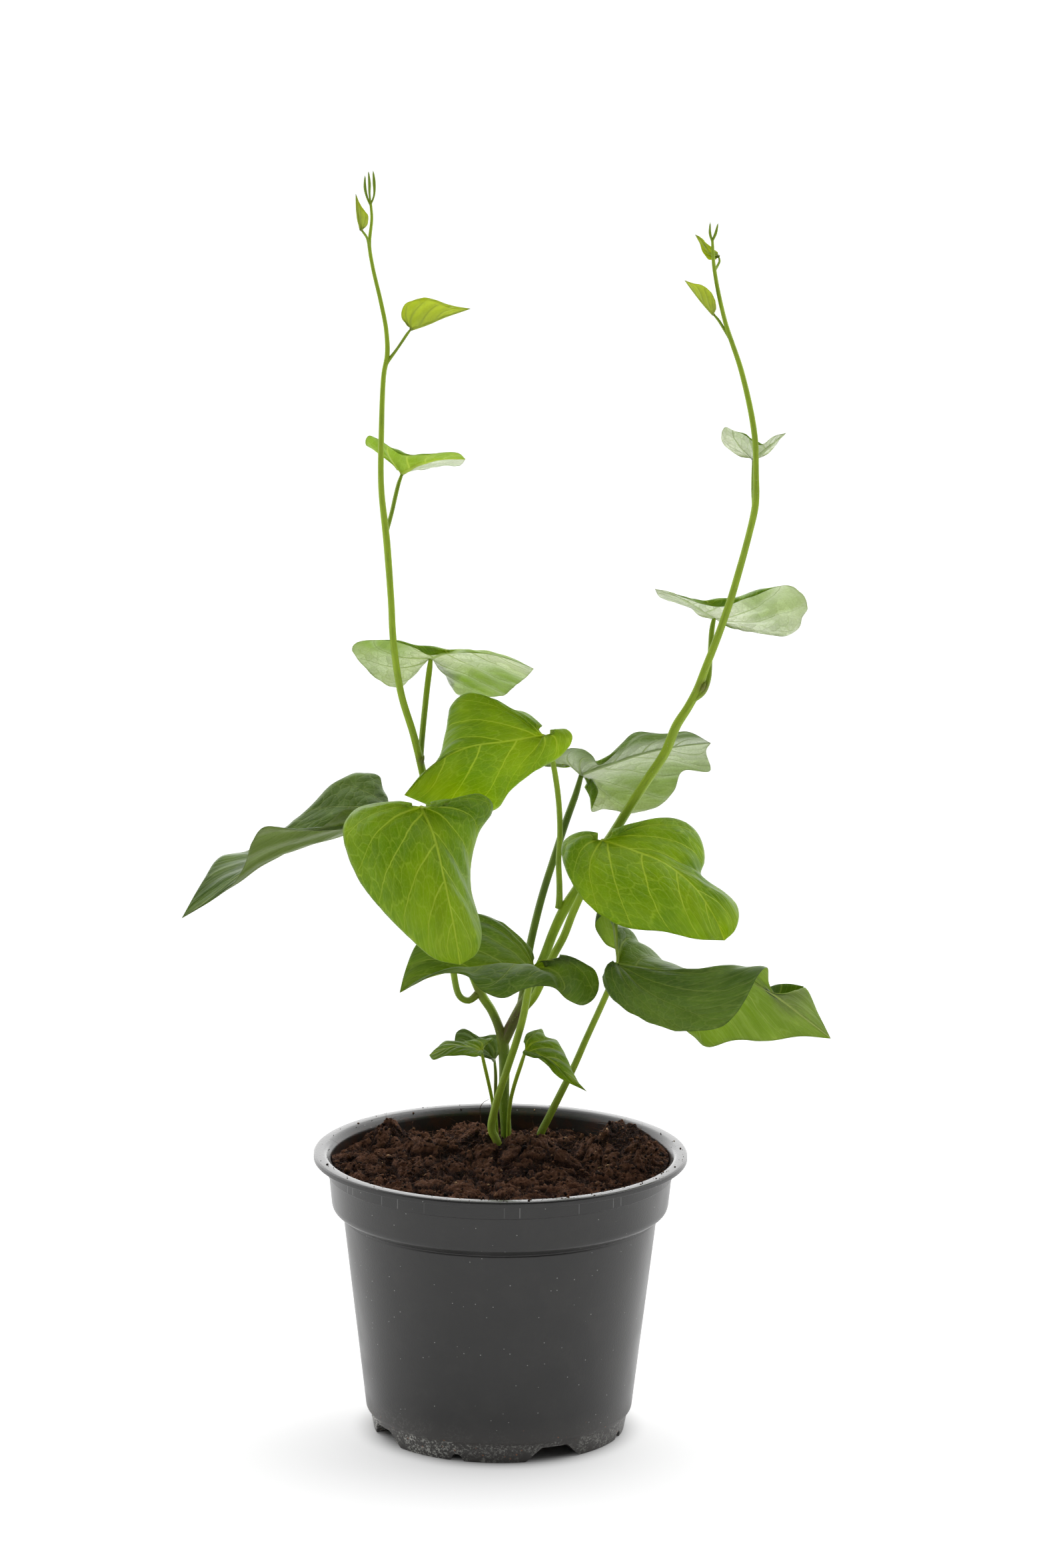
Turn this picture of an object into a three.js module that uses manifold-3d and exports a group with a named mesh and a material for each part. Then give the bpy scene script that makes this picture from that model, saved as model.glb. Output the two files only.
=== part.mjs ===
import * as THREE from 'three';
import { mergeVertices } from 'three/addons/utils/BufferGeometryUtils.js';
import Module from 'manifold-3d';

// A sweet potato vine with two climbing stems in a round nursery pot.
// Millimetres, +Z up, the pot stands on z = 0 on the Z axis and the plant's front faces -Y.

// Pot: a 17 cm, 2 litre thermoformed nursery container
const RIM_RADIUS = 85;
const POT_HEIGHT = 130;
const RIM_TOP_WIDTH = 5.3;
const RIM_LIP = 1.4;
const MOUTH_RADIUS = 77;
const MOUTH_Z = 127;
const BAND_TOP_RADIUS = 78;
const BEAD_RADIUS = 78.6;
const BEAD_Z = 120;
const BAND_FOOT_RADIUS = 76.6;
const BAND_FOOT_Z = 106;
const SHOULDER_RADIUS = 71.4;
const SHOULDER_Z = 100.5;
const BODY_FOOT_RADIUS = 60.7;
const BODY_FOOT_Z = 10.4;
const RING_TOP_RADIUS = 58.9;
const RING_TOP_Z = 8.6;
const FOOT_RADIUS = 57.2;
const FOOT_DEPTH = 11;
const FOOT_LEAN = 1;
const WALL = 1.2;
const WALL_RISE = 0.5;
const FLOOR_Z = 7;
const FLOOR_TOP_Z = FLOOR_Z + WALL;
const FLOOR_RADIUS = 56.5;
const RIM_OVERHANG = 4.5;
const RIM_ROOT_DROP = 1.1;
const BEAD_STEP = 0.4;
const POT_SEGMENTS = 48;

// Foot ring: pads parted by wide and narrow notches in turn, with a drainage hole by each wide one
const NOTCH_COUNT = 4;
const NOTCH_REACH = 9;
const WIDE_NOTCH = { foot: 28, top: 13, height: 6.8, bearing: 26 };
const NARROW_NOTCH = { foot: 7.5, top: 3, height: 3.4, bearing: -19 };
const DRAIN_RADIUS = 4.5;
const DRAIN_CIRCLE = 46;
const DRAIN_SIDES = 16;

// Soil: a coarse fill with clods and hollows, clear of the pot's wall and of the stems
const SOIL_GAP = 0.4;
const CLEARANCE = 0.35;
const SOIL_LEVEL = 124;
const SOIL_TILT = -0.03;
const SOIL_RINGS = 7;
const SOIL_FORMS = [
  { x: 0, y: 18, rise: 5.5, spread: 16 },
  { x: 15, y: -6, rise: 2.5, spread: 9 },
  { x: -50, y: 46, rise: 6, spread: 8 },
  { x: -29, y: 52, rise: 3, spread: 7 },
  { x: -12, y: 62, rise: 2.5, spread: 7 },
  { x: 57, y: 34, rise: 7.5, spread: 13 },
  { x: 40, y: 54, rise: -5, spread: 8 },
  { x: -60, y: 22, rise: -3, spread: 8 },
  { x: -72, y: -8, rise: 3, spread: 14 },
  { x: 72, y: -6, rise: 3.5, spread: 14 },
];

// Leaf blades
const BLADE_THICKNESS = 0.8;
const FAN_SHARE = 0.38;
const WIDEST_SHARE = 0.4;
const RIB_EASE = 1.1;
const EDGE_WAVES = 3;
const EDGE_WAVE_SHARE = 0.013;
const LARGE_BLADE = { along: 14, across: 6 };
const SMALL_BLADE = { along: 10, across: 4 };

// Stems
const VINE_SIDES = 8;
const STALK_SIDES = 6;
const VINE_STEP = 9;
const STALK_STEP = 8;
const BUD_STEP = 3;
const SEAT_GAP = 1.05;
const SEAT_RADIUS = 0.6;

const WELD = 1e-4;
const DOWN_TO_UP = Math.PI / 2;

// Stems, each as stations [x, y, z, radius] from its root to its end
const STEMS = {
  left_vine: [
    [2.5, 25, 108, 2.2], [2.5, 23, 134, 2.45], [1.5, 22, 148, 2.45], [1.5, 22, 164, 2.45],
    [1, 22, 174, 2.6], [-1, 22.5, 182, 2.15], [-4.5, 23.5, 190, 2.05], [-9, 24, 197, 2.15],
    [-16, 23, 214, 1.9], [-20.5, 21, 230, 1.9], [-26, 19, 252, 1.8], [-31, 17, 277, 1.75],
    [-36.5, 14.5, 304, 1.75], [-40.5, 13, 321, 1.65], [-46, 10.5, 340, 1.6], [-49.5, 3.5, 366, 1.55],
    [-50.5, 1, 385, 1.5], [-52.5, -0.5, 412, 1.6], [-55, -3, 437, 1.35], [-55, -4, 461, 1.25],
    [-54, -4, 488, 1.1], [-52.5, -4, 497, 1.1], [-53, -4, 508, 1], [-55.5, -4, 521, 0.95],
    [-59, -4, 536, 0.85], [-60.5, -4, 546, 0.8], [-59.5, -4, 558, 0.65], [-60, -4, 564.5, 0.6],
  ],
  right_vine: [
    [0.5, 22, 173, 1.9], [3, 22, 180, 2.6], [5.5, 22, 185.5, 2.5], [10.5, 22, 195.5, 2.45],
    [14.5, 22, 205, 2.3], [19, 22, 215, 2.25], [23.5, 22, 227.5, 2.25], [28.5, 22, 238.5, 2.45],
    [34.5, 22, 248.5, 2.25], [42, 21, 261.5, 2.2], [50, 20, 274, 2.2], [56.5, 18, 285.5, 2.15],
    [65, 17, 299.5, 2.15], [73, 16, 312.5, 2.15], [78, 14.5, 325.5, 2.15], [83, 13.5, 334, 2],
    [87, 12.5, 342, 1.95], [91, 11, 353.5, 1.75], [95.5, 9.5, 366, 1.7], [101.5, 8, 384.5, 1.65],
    [104.5, 7, 395.5, 1.6], [109.5, 4, 416, 1.5], [112, 2, 429.5, 1.6], [112, 1, 444, 1.35],
    [111, 0, 462, 1.35], [105, -2, 489.5, 1.2], [97, -3.5, 513.5, 1], [92, -5, 537, 0.85],
    [91, -6, 550, 0.6],
  ],
};

// Leaf stalks that branch off a vine, with the leaf that each one carries
const LEFT_STALKS = {
  leaf_low_front: [
    [-11, 24, 197.5, 1.5], [-15, 22, 195, 1.5], [-19, 20, 197.5, 1.5], [-22, 18, 210, 1.5],
    [-24, 17.5, 229, 1.4], [-26, 14.5, 240, 1.35], [-29.5, 5, 258, 1.3], [-33.5, -5, 278, 1.3],
    [-35.5, -10.5, 288, 1.3],
  ],
  leaf_left_long: [
    [-27, 18.5, 258, 1.5], [-31, 19.5, 267, 1.5], [-37, 20, 275, 1.5], [-44, 19.5, 280, 1.4],
  ],
  leaf_left_wing: [
    [-37.5, 14, 308, 1.35], [-36.5, 20, 320, 1.35], [-34.5, 26, 340, 1.35], [-33.5, 29, 348, 1.3],
  ],
  leaf_left_high: [[-53, -0.5, 416, 1.05], [-51, 3, 422, 0.95], [-47.5, 12, 436, 0.9]],
  leaf_left_young: [[-53, -4, 493, 0.85], [-48.5, -4, 499, 0.65], [-43.5, -4, 506.5, 0.65]],
  leaf_left_tip: [[-60.5, -4, 544.5, 0.6], [-61.5, -6.5, 549.5, 0.55], [-63, -8, 552, 0.55]],
};
const RIGHT_STALKS = {
  leaf_right_front: [
    [10, 21, 191.5, 1.65], [14.5, 16, 198, 1.75], [18.5, 13, 207, 1.8], [23, 12, 218, 1.8],
    [28, 11, 228, 1.8], [32, 10, 239, 1.75], [36, 8, 249, 1.65], [40.5, 5, 262.5, 1.45],
  ],
  leaf_right_back: [
    [8, 22.5, 189, 1.65], [10.5, 23, 203, 1.8], [12.5, 24, 218.5, 1.8], [15, 25, 230.5, 1.8],
    [18.5, 26, 244.5, 1.75], [23.5, 27, 261, 1.7], [29, 28, 278.5, 1.65], [33, 29, 290, 1.5],
  ],
  leaf_mid_upper: [
    [26, 22, 239, 1.5], [26, 20, 249, 1.4], [25.5, 18, 262, 1.3], [26, 15, 275, 1.3],
    [25.5, 12, 288, 1.3], [24, 9, 301, 1.3], [22, 6.5, 311.5, 1.2],
  ],
  leaf_right_wing: [
    [86, 12.5, 336, 1.5], [90, 13, 340, 1.9], [92, 14.5, 346, 1.4], [93, 21, 357, 1.2], [94, 31, 367, 1.2],
  ],
  leaf_right_high: [[111.5, 2, 428, 0.95], [111, 5, 434, 0.85], [111, 7.5, 441, 0.85]],
  leaf_right_young: [[100.5, -3, 503.5, 0.75], [97, -2.5, 509, 0.65], [94.5, -2.5, 513, 0.65]],
  leaf_right_tip: [[92, -5, 535.5, 0.6], [93.5, -2.5, 537.5, 0.55], [94.5, -1, 539.5, 0.5]],
};

// Closed buds at the two growing tips
const LEFT_BUDS = [
  [[-60, -4, 563.5, 0.45], [-61.5, -4, 567, 0.5], [-62.5, -4, 571.5, 0.65], [-62.5, -4, 577, 0.25]],
  [[-60, -4, 564, 0.45], [-60.5, -4.5, 569, 0.5], [-60.5, -5, 573.5, 0.65], [-61, -5, 579, 0.25]],
  [[-60, -4, 564, 0.45], [-58.5, -3.5, 568, 0.45], [-58.5, -3, 574, 0.7], [-59, -3, 579, 0.25]],
];
const RIGHT_BUDS = [
  [[91, -6, 549, 0.5], [90, -6, 552.5, 0.6], [90, -6, 557.5, 0.25]],
  [[91, -6, 549, 0.5], [92.5, -5.5, 552.5, 0.65], [93.5, -5, 557, 0.25]],
];

// Leaf stalks that come up out of the soil on their own
const BASE_STALKS = {
  leaf_low_centre: [
    [2, 8, 110, 1.5], [-1, 10, 130.5, 1.8], [-4, 12, 137, 1.9], [-3, 12, 145.5, 1.8],
    [2.5, 10, 165, 1.7], [7, 8, 180, 1.7], [10, 6.5, 192, 1.7], [12, 4, 204, 1.6],
  ],
  leaf_right_long: [
    [18, 18, 110, 1.75], [18, 15, 133, 1.8], [21.5, 14, 141.5, 1.75], [33, 10, 167, 1.6],
    [38.5, 7, 181, 1.5], [44.5, 3, 196, 1.45], [48.5, -2, 207, 1.4],
  ],
  leaf_base_left: [[0.5, 19, 110, 0.8], [-2, 18.5, 136, 0.8], [-4, 16, 150, 0.8], [-8, 6, 171, 0.8]],
  leaf_base_right: [[4, 15, 110, 0.9], [3.5, 14.5, 136, 0.9], [4.5, 12, 151, 0.9], [9.5, 1, 172, 0.9]],
  leaf_base_back: [[-0.5, 29, 110, 0.8], [-2, 28.5, 134, 0.8], [-2.5, 28, 146, 0.8], [-2.5, 27, 159, 0.8]],
};

// Leaves. A blade spans from its midrib to its left and right edge, each a line of points that
// starts beside the stalk and ends at the tip, and swell is how far each half bellies out.
const LEAVES = {
  leaf_low_front: {
    junction: [-36.5, -14, 293.5],
    midrib: [[-31, -22, 283.5], [-26, -33, 266], [-21, -38, 243]],
    tip: [-18.5, -33, 225.5],
    left: [
      [-32.5, -10, 295], [-19, -8, 296.5], [-9.5, -8, 298.5], [-4.5, -6, 294], [-5, -4, 288],
      [-10, -1, 280], [-13.5, -1, 268], [-14, -6, 255], [-9, -20, 237], [-11, -27, 229.5],
    ],
    right: [
      [-44.5, -8, 293], [-55, -5, 293], [-65.5, -6, 291], [-72, -10, 282.5], [-69.5, -15, 271.5],
      [-63.5, -22, 260.5], [-54, -28, 249.5], [-41.5, -33, 238], [-30, -36, 229],
    ],
    swell: { left: [2, -8, 1], right: [0, -8, 2] },
  },
  leaf_mid_upper: {
    junction: [18, 3, 323],
    midrib: [[1.5, 0, 321], [-16.5, 0, 318], [-31.5, 3, 309]],
    tip: [-44.5, 8, 294],
    left: [
      [23, -1, 324.5], [29.5, -4, 327], [31.5, -5, 323.5], [27, -4, 316], [13.5, 0, 306.5],
      [3, 4, 296.5], [-3, 7, 288], [-16.5, 9, 285], [-31.5, 9, 288.5],
    ],
    right: [
      [15.5, 9, 326], [9.5, 15, 331], [3, 17, 332.5], [-6, 20, 336.5], [-16.5, 21, 338.5],
      [-23.5, 21, 333.5], [-26, 17, 321.5], [-30, 11, 308.5], [-38, 8, 301.5],
    ],
    swell: { left: [0, -5, 2], right: [0, -6, 2] },
  },
  leaf_left_long: {
    junction: [-50, 18, 284],
    midrib: [[-73, 16, 273.5], [-94.5, 12, 268], [-118, 8, 257], [-131, 6, 247]],
    tip: [-145, 6, 236.5],
    left: [
      [-54, 13, 285.5], [-63, 7, 288], [-72.5, 2, 287.5], [-85, -8, 282], [-97, -12, 282],
      [-107.5, -14, 283.5], [-112.5, -12, 277], [-116.5, -6, 263.5], [-121.5, -1, 254], [-131, 3, 246],
    ],
    right: [
      [-53.5, 28, 285.5], [-58, 38, 285], [-56.5, 47, 294.5], [-64, 50, 295], [-74.5, 52, 290],
      [-86.5, 50, 281], [-100.5, 46, 270], [-116, 38, 260.5], [-129, 30, 259.5], [-135.5, 18, 252],
    ],
    swell: { left: [0, -3, -3], right: [0, 0, -5] },
  },
  leaf_low_centre: {
    junction: [14.5, 0, 216],
    midrib: [[3.5, -6, 219.5], [-8.5, -8, 219], [-22, -8, 216.5], [-34, -8, 213]],
    tip: [-46, -8, 206],
    left: [
      [19.5, -3, 217], [26.5, -3, 218], [34.5, -3, 219.5], [41.5, -6, 217.5], [44, -9, 212.5],
      [42.5, -14, 206.5], [37, -18, 203.5], [29.5, -18, 206], [24, -18, 211], [16, -20, 212.5],
      [9, -23, 211.5], [1, -26, 208.5], [-9, -24, 211.5], [-15.5, -20, 217], [-28, -16, 217],
      [-40, -12, 210.5],
    ],
    right: [
      [14, 5, 218.5], [11, 9, 224.5], [5, 11, 230.5], [-2.5, 11, 235.5], [-12, 10, 239],
      [-22, 8, 238], [-31, 5, 233], [-39, 1, 226], [-44, -4, 214],
    ],
    swell: { left: [0, -2, 4], right: [0, 0, 2] },
  },
  leaf_right_front: {
    junction: [45, 0, 275.5],
    midrib: [[59, -6, 272.5], [74, -10, 267], [87, -12, 256.5], [95.5, -12, 243.5]],
    tip: [100.5, -6, 231],
    left: [
      [49.5, 5, 277.5], [62, 10, 281], [75, 13, 283.5], [85, 14, 279.5], [90.5, 13, 271.5],
      [91.5, 11, 263.5], [90, 10, 257.5], [98, 8, 250.5], [105.5, 2, 246.5], [107, -3, 241.5],
      [105, -6, 235.5],
    ],
    right: [
      [40.5, 4, 276.5], [32.5, 4, 277.5], [27, 0, 274], [28, -8, 265], [33.5, -14, 255],
      [44, -18, 245.5], [56, -20, 240], [74, -20, 238], [87.5, -16, 234],
    ],
    swell: { left: [2, -6, 3], right: [0, -7, 2] },
  },
  leaf_right_long: {
    junction: [52.5, -8, 220],
    midrib: [[67, -14, 219.5], [86, -18, 219.5], [104.5, -16, 217.5], [119.5, -8, 208.5], [135, -3, 196]],
    tip: [149.5, 2, 183.5],
    left: [
      [51.5, -4, 225.5], [49.5, 0, 235], [45.5, 5, 239], [42, 10, 233], [47.5, 15, 225],
      [59.5, 20, 215.5], [70.5, 24, 201.5], [79, 24, 187.5], [87.5, 20, 180], [94, 14, 176],
      [105.5, 8, 180.5], [120.5, 4, 181.5], [135.5, 2, 184.5],
    ],
    right: [
      [49, -9, 217.5], [45, -11, 214.5], [47, -15, 210.5], [52, -20, 206], [63, -26, 200],
      [74.5, -30, 195], [89, -32, 195], [101, -32, 199], [109.5, -28, 209], [115.5, -22, 219],
      [119.5, -14, 220], [123, -3, 209.5], [137.5, 5, 206.5], [144, 4, 194],
    ],
    swell: { left: [0, 4, 15], right: [0, -4, 3] },
  },
  leaf_right_back: {
    junction: [35.5, 30, 299],
    midrib: [[50, 32, 304], [65, 32, 309], [80, 30, 312.5]],
    tip: [94, 26, 315],
    left: [
      [40.5, 36, 296], [43.5, 44, 287.5], [40.5, 52, 277], [46, 54, 278], [58, 56, 275],
      [70, 54, 278.5], [78, 48, 288], [82, 41, 298.5], [94, 35, 300], [92, 30, 310.5],
    ],
    right: [
      [27.5, 31, 302], [18.5, 32, 303], [18, 27, 308], [28, 22, 312], [34.5, 21, 313],
      [40, 23, 309.5], [43.5, 27, 304.5], [50, 24, 310], [54.5, 22, 316], [59.5, 21, 320.5],
      [74, 21, 320.5], [83, 21, 321.5],
    ],
    swell: { left: [0, 4, 3], right: [0, 2, 2] },
  },
  leaf_left_wing: {
    junction: [-33, 30, 352.5],
    midrib: [[-26, 23, 356.5], [-15.5, 14, 359.5], [0, 2, 360]],
    tip: [13.5, -8, 356],
    left: [
      [-29, 35, 350], [-22, 42, 344.5], [-22, 50, 333], [-13.5, 48, 331], [-3, 38, 333],
      [6.5, 17, 343.5], [11.5, 1, 351.5],
    ],
    right: [
      [-35.5, 34, 349], [-41, 38, 343.5], [-47, 39, 337.5], [-57.5, 33, 342.5], [-64, 25, 350],
      [-68.5, 17, 359], [-64.5, 10, 364.5], [-54, 8, 365.5], [-47, 9, 364], [-39.5, 12, 360.5],
      [-34, 15, 357], [-28, 12, 358], [-19, 5, 360.5], [-9, -2, 361.5], [2, -9, 360.5],
    ],
    swell: { left: [0, 2, 1], right: [0, 0, 0.5] },
  },
  leaf_left_high: {
    junction: [-46, 14, 440],
    midrib: [[-38.5, 9, 445], [-28.5, 2, 449]],
    tip: [-17.5, -6, 450.5],
    left: [[-43.5, 18, 440], [-38, 24, 440], [-31.5, 26, 441], [-24, 19, 443], [-20, 8, 445]],
    right: [
      [-48.5, 17, 440.5], [-53, 20, 445.5], [-58.5, 19, 450], [-62.5, 14, 453.5], [-60.5, 8, 458],
      [-54, 6, 455.5], [-46.5, 3, 451], [-36.5, -2, 451.5], [-27.5, -6, 453.5], [-20.5, -8, 453.5],
    ],
    swell: { left: [0, 0, 1], right: [0, 0, 1] },
  },
  leaf_left_young: {
    junction: [-42, -4, 508.5],
    midrib: [[-35, -5, 511], [-27, -6, 514.5]],
    tip: [-15.5, -8, 518.5],
    left: [
      [-43, 0, 510.5], [-45.5, 5, 514], [-43.5, 8, 518.5], [-37.5, 9, 520.5], [-31, 6, 520],
      [-24, 0, 518.5], [-19, -5, 518.5],
    ],
    right: [
      [-44, -6, 511], [-46.5, -9, 515.5], [-45, -11, 520.5], [-39.5, -12, 523], [-32, -12, 522.5],
      [-25.5, -11, 519.5], [-20.5, -9, 518.5],
    ],
    swell: { left: [0, 1, 0], right: [0, -1, 0] },
  },
  leaf_left_tip: {
    junction: [-64, -9, 553.5],
    midrib: [[-65.5, -9, 559.5]],
    tip: [-66.5, -9, 569.5],
    left: [[-63, -11, 554.5], [-61, -13, 557], [-61, -13, 561], [-64, -11, 563.5]],
    right: [[-63, -8, 554], [-61.5, -7.5, 556.5], [-61.5, -7.5, 560.5], [-64, -8, 564]],
    swell: { left: [0, -0.5, 0], right: [0, 0.5, 0] },
  },
  leaf_right_wing: {
    junction: [95, 35, 371],
    midrib: [[87.5, 27, 377], [78.5, 15, 384.5]],
    tip: [67.5, 3, 390.5],
    left: [
      [99, 40, 367.5], [105.5, 44, 363.5], [116, 46, 361.5], [128, 44, 361.5], [133.5, 40, 365.5],
      [135, 34, 372], [137, 27, 377.5], [134, 20, 385.5], [126.5, 14, 390.5], [109.5, 14, 384.5],
      [98.5, 18, 379.5], [90.5, 17, 380.5], [82, 12, 384.5], [73.5, 6, 388.5],
    ],
    right: [[93.5, 38, 369], [87.5, 38, 372.5], [80, 32, 378.5], [73, 20, 382], [69, 9, 386.5]],
    swell: { left: [0, 2, 0], right: [0, 0, 0.5] },
  },
  leaf_right_high: {
    junction: [111, 9, 448],
    midrib: [[116.5, 4, 454]],
    tip: [125, -4, 463],
    left: [[112.5, 12, 448], [116, 16, 449], [120, 13, 453], [123, 5, 459]],
    right: [
      [110, 11, 448], [104.5, 14, 449.5], [99, 14, 453], [96.5, 11, 457.5], [98, 7, 463.5],
      [102.5, 6, 462], [106.5, 5, 460.5], [110.5, 4, 457.5], [114, 2, 456.5], [119.5, -2, 461],
    ],
    swell: { left: [0, 0, 1], right: [0, 0, 1] },
  },
  leaf_right_young: {
    junction: [92, -3, 516],
    midrib: [[87.5, -4, 521], [83, -5, 526.5]],
    tip: [79, -6, 531.5],
    left: [[93, -6, 518.5], [92, -9, 523.5], [87.5, -10, 530], [81.5, -8, 530.5]],
    right: [[93, 0, 517.5], [93, 2, 521.5], [89.5, 2, 527], [84.5, -1, 529]],
    swell: { left: [0, -1, 0], right: [0, 1, 0] },
  },
  leaf_right_tip: {
    junction: [94, 0, 541.5],
    midrib: [[90.5, 0, 542.5], [87, -1, 547]],
    tip: [83.5, -3, 551.5],
    left: [[93, 0, 540], [89.5, -1, 540], [87, -3, 543], [85.5, -4, 547.5]],
    right: [[93.5, 3, 543], [91.5, 4, 544.5], [88.5, 3, 547], [85.5, 0, 550]],
    swell: { left: [0, -0.5, 0], right: [0, 0.5, 0] },
  },
  leaf_base_left: {
    junction: [-9, 4, 176],
    midrib: [[-15.5, 0, 179], [-24, -5, 179.5]],
    tip: [-32.5, -8, 177],
    left: [[-8, -1, 175.5], [-11, -6, 176.5], [-16.5, -10, 177.5], [-24, -12, 178], [-30.5, -12, 176]],
    right: [
      [-5.5, 9, 178.5], [-3.5, 12, 180], [-11.5, 13, 179], [-16, 11, 178.5], [-20.5, 8, 179],
      [-25, 5, 180.5], [-29, -1, 179],
    ],
    swell: { left: [0, 0, 1.5], right: [0, 0, 1] },
  },
  leaf_base_right: {
    junction: [11, -2, 177.5],
    midrib: [[16.5, -5, 177], [22.5, -8, 175], [29.5, -8, 168.5]],
    tip: [39, -4, 159.5],
    left: [
      [10.5, 4, 180.5], [11.5, 8, 183.5], [16, 10, 184.5], [18.5, 11, 185], [20.5, 9, 181.5],
      [25, 8, 180.5], [28, 5, 177], [31, 1, 170.5], [35, -2, 163.5],
    ],
    right: [
      [9.5, -4, 176.5], [14.5, -8, 176.5], [19.5, -11, 176], [22.5, -12, 172], [26.5, -11, 167.5],
      [30.5, -9, 165], [35, -6, 162],
    ],
    swell: { left: [0, -2, 1.5], right: [0, -1, 1] },
  },
  leaf_base_back: {
    junction: [-3, 26, 165.5],
    midrib: [[-7, 28, 169.5], [-13, 27, 173.5]],
    tip: [-21.5, 22, 174.5],
    left: [[-5, 24, 167], [-10, 22, 169], [-15, 20, 171], [-19, 20, 172]],
    right: [
      [-0.5, 30, 168], [1.5, 33, 172.5], [-2, 33, 176], [-11.5, 31, 176], [-17, 29, 180], [-20.5, 26, 179],
    ],
    swell: { left: [0, 0, 1], right: [0, 1, 1] },
  },
};
const SMALL_LEAVES = [
  'leaf_left_young', 'leaf_left_tip', 'leaf_right_high', 'leaf_right_young', 'leaf_right_tip',
  'leaf_base_back',
];

const POT_PAINT = { color: 0x343434, roughness: 0.5 };
const SOIL_PAINT = { color: 0x4a2f22, roughness: 0.95 };
const VINE_PAINT = { color: 0x5f7a35, roughness: 0.55 };
const STALK_PAINT = { color: 0x86a342, roughness: 0.5 };
const LEAF_PAINT = { color: 0x55822a, roughness: 0.55 };
const YOUNG_LEAF_PAINT = { color: 0x8fb23e, roughness: 0.55 };

const wasm = await Module();
wasm.setup();

function toVector(point) {
  return new THREE.Vector3(point[0], point[1], point[2]);
}

function rail(points) {
  return new THREE.CatmullRomCurve3(points.map(toVector), false, 'centripetal');
}

/** Joins equal corners, drops triangles without area and turns the faces outwards. */
function weld(geometry) {
  geometry.deleteAttribute('normal');
  geometry.deleteAttribute('uv');
  const merged = mergeVertices(geometry, WELD);
  const corners = merged.index.array;
  const kept = [];
  for (let i = 0; i < corners.length; i += 3) {
    const [a, b, c] = [corners[i], corners[i + 1], corners[i + 2]];
    if (a !== b && b !== c && c !== a) kept.push(a, b, c);
  }
  merged.setIndex(kept);
  return merged;
}

function signedVolume(geometry) {
  const { position } = geometry.attributes;
  const index = geometry.index.array;
  const [a, b, c] = [new THREE.Vector3(), new THREE.Vector3(), new THREE.Vector3()];
  let total = 0;
  for (let i = 0; i < index.length; i += 3) {
    a.fromBufferAttribute(position, index[i]);
    b.fromBufferAttribute(position, index[i + 1]);
    c.fromBufferAttribute(position, index[i + 2]);
    total += a.dot(b.cross(c)) / 6;
  }
  return total;
}

function toSolid(geometry) {
  const merged = weld(geometry);
  const triVerts = Uint32Array.from(merged.index.array);
  if (signedVolume(merged) < 0) triVerts.reverse();
  const vertProperties = Float32Array.from(merged.attributes.position.array);
  return new wasm.Manifold(new wasm.Mesh({ numProp: 3, vertProperties, triVerts }));
}

function toGeometry(solid) {
  const mesh = solid.getMesh();
  const geometry = new THREE.BufferGeometry();
  geometry.setAttribute('position', new THREE.BufferAttribute(mesh.vertProperties, mesh.numProp));
  geometry.setIndex(new THREE.BufferAttribute(mesh.triVerts, 1));
  return geometry;
}

function union(solids) {
  return solids.reduce((sum, solid) => sum.add(solid));
}

/** Turns a profile of [radius, z] points about the Z axis. */
function turn(profile, segments) {
  const outline = profile.map(([radius, z]) => new THREE.Vector2(radius, z));
  return new THREE.LatheGeometry(outline, segments).rotateX(DOWN_TO_UP);
}

/** A radial cutter through the foot ring, widest at the foot, at a bearing from the front. */
function notchCutter(notch, turnIndex) {
  const block = new THREE.BoxGeometry(notch.foot, FOOT_DEPTH + NOTCH_REACH, notch.height * 2);
  const { position } = block.attributes;
  for (let i = 0; i < position.count; i += 1) {
    if (position.getZ(i) > 0) position.setX(i, position.getX(i) * (notch.top / notch.foot));
    else position.setX(i, position.getX(i) * (2 - notch.top / notch.foot));
  }
  block.translate(0, FOOT_DEPTH / 2 - RING_TOP_RADIUS, 0);
  block.rotateZ(THREE.MathUtils.degToRad(notch.bearing + (360 / NOTCH_COUNT) * turnIndex));
  return toSolid(block);
}

function drainCutter(turnIndex) {
  const drill = new THREE.CylinderGeometry(DRAIN_RADIUS, DRAIN_RADIUS, FLOOR_Z * 2, DRAIN_SIDES);
  drill.rotateX(DOWN_TO_UP).translate(0, -DRAIN_CIRCLE, FLOOR_Z);
  drill.rotateZ(THREE.MathUtils.degToRad(WIDE_NOTCH.bearing + (360 / NOTCH_COUNT) * turnIndex));
  return toSolid(drill);
}

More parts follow.
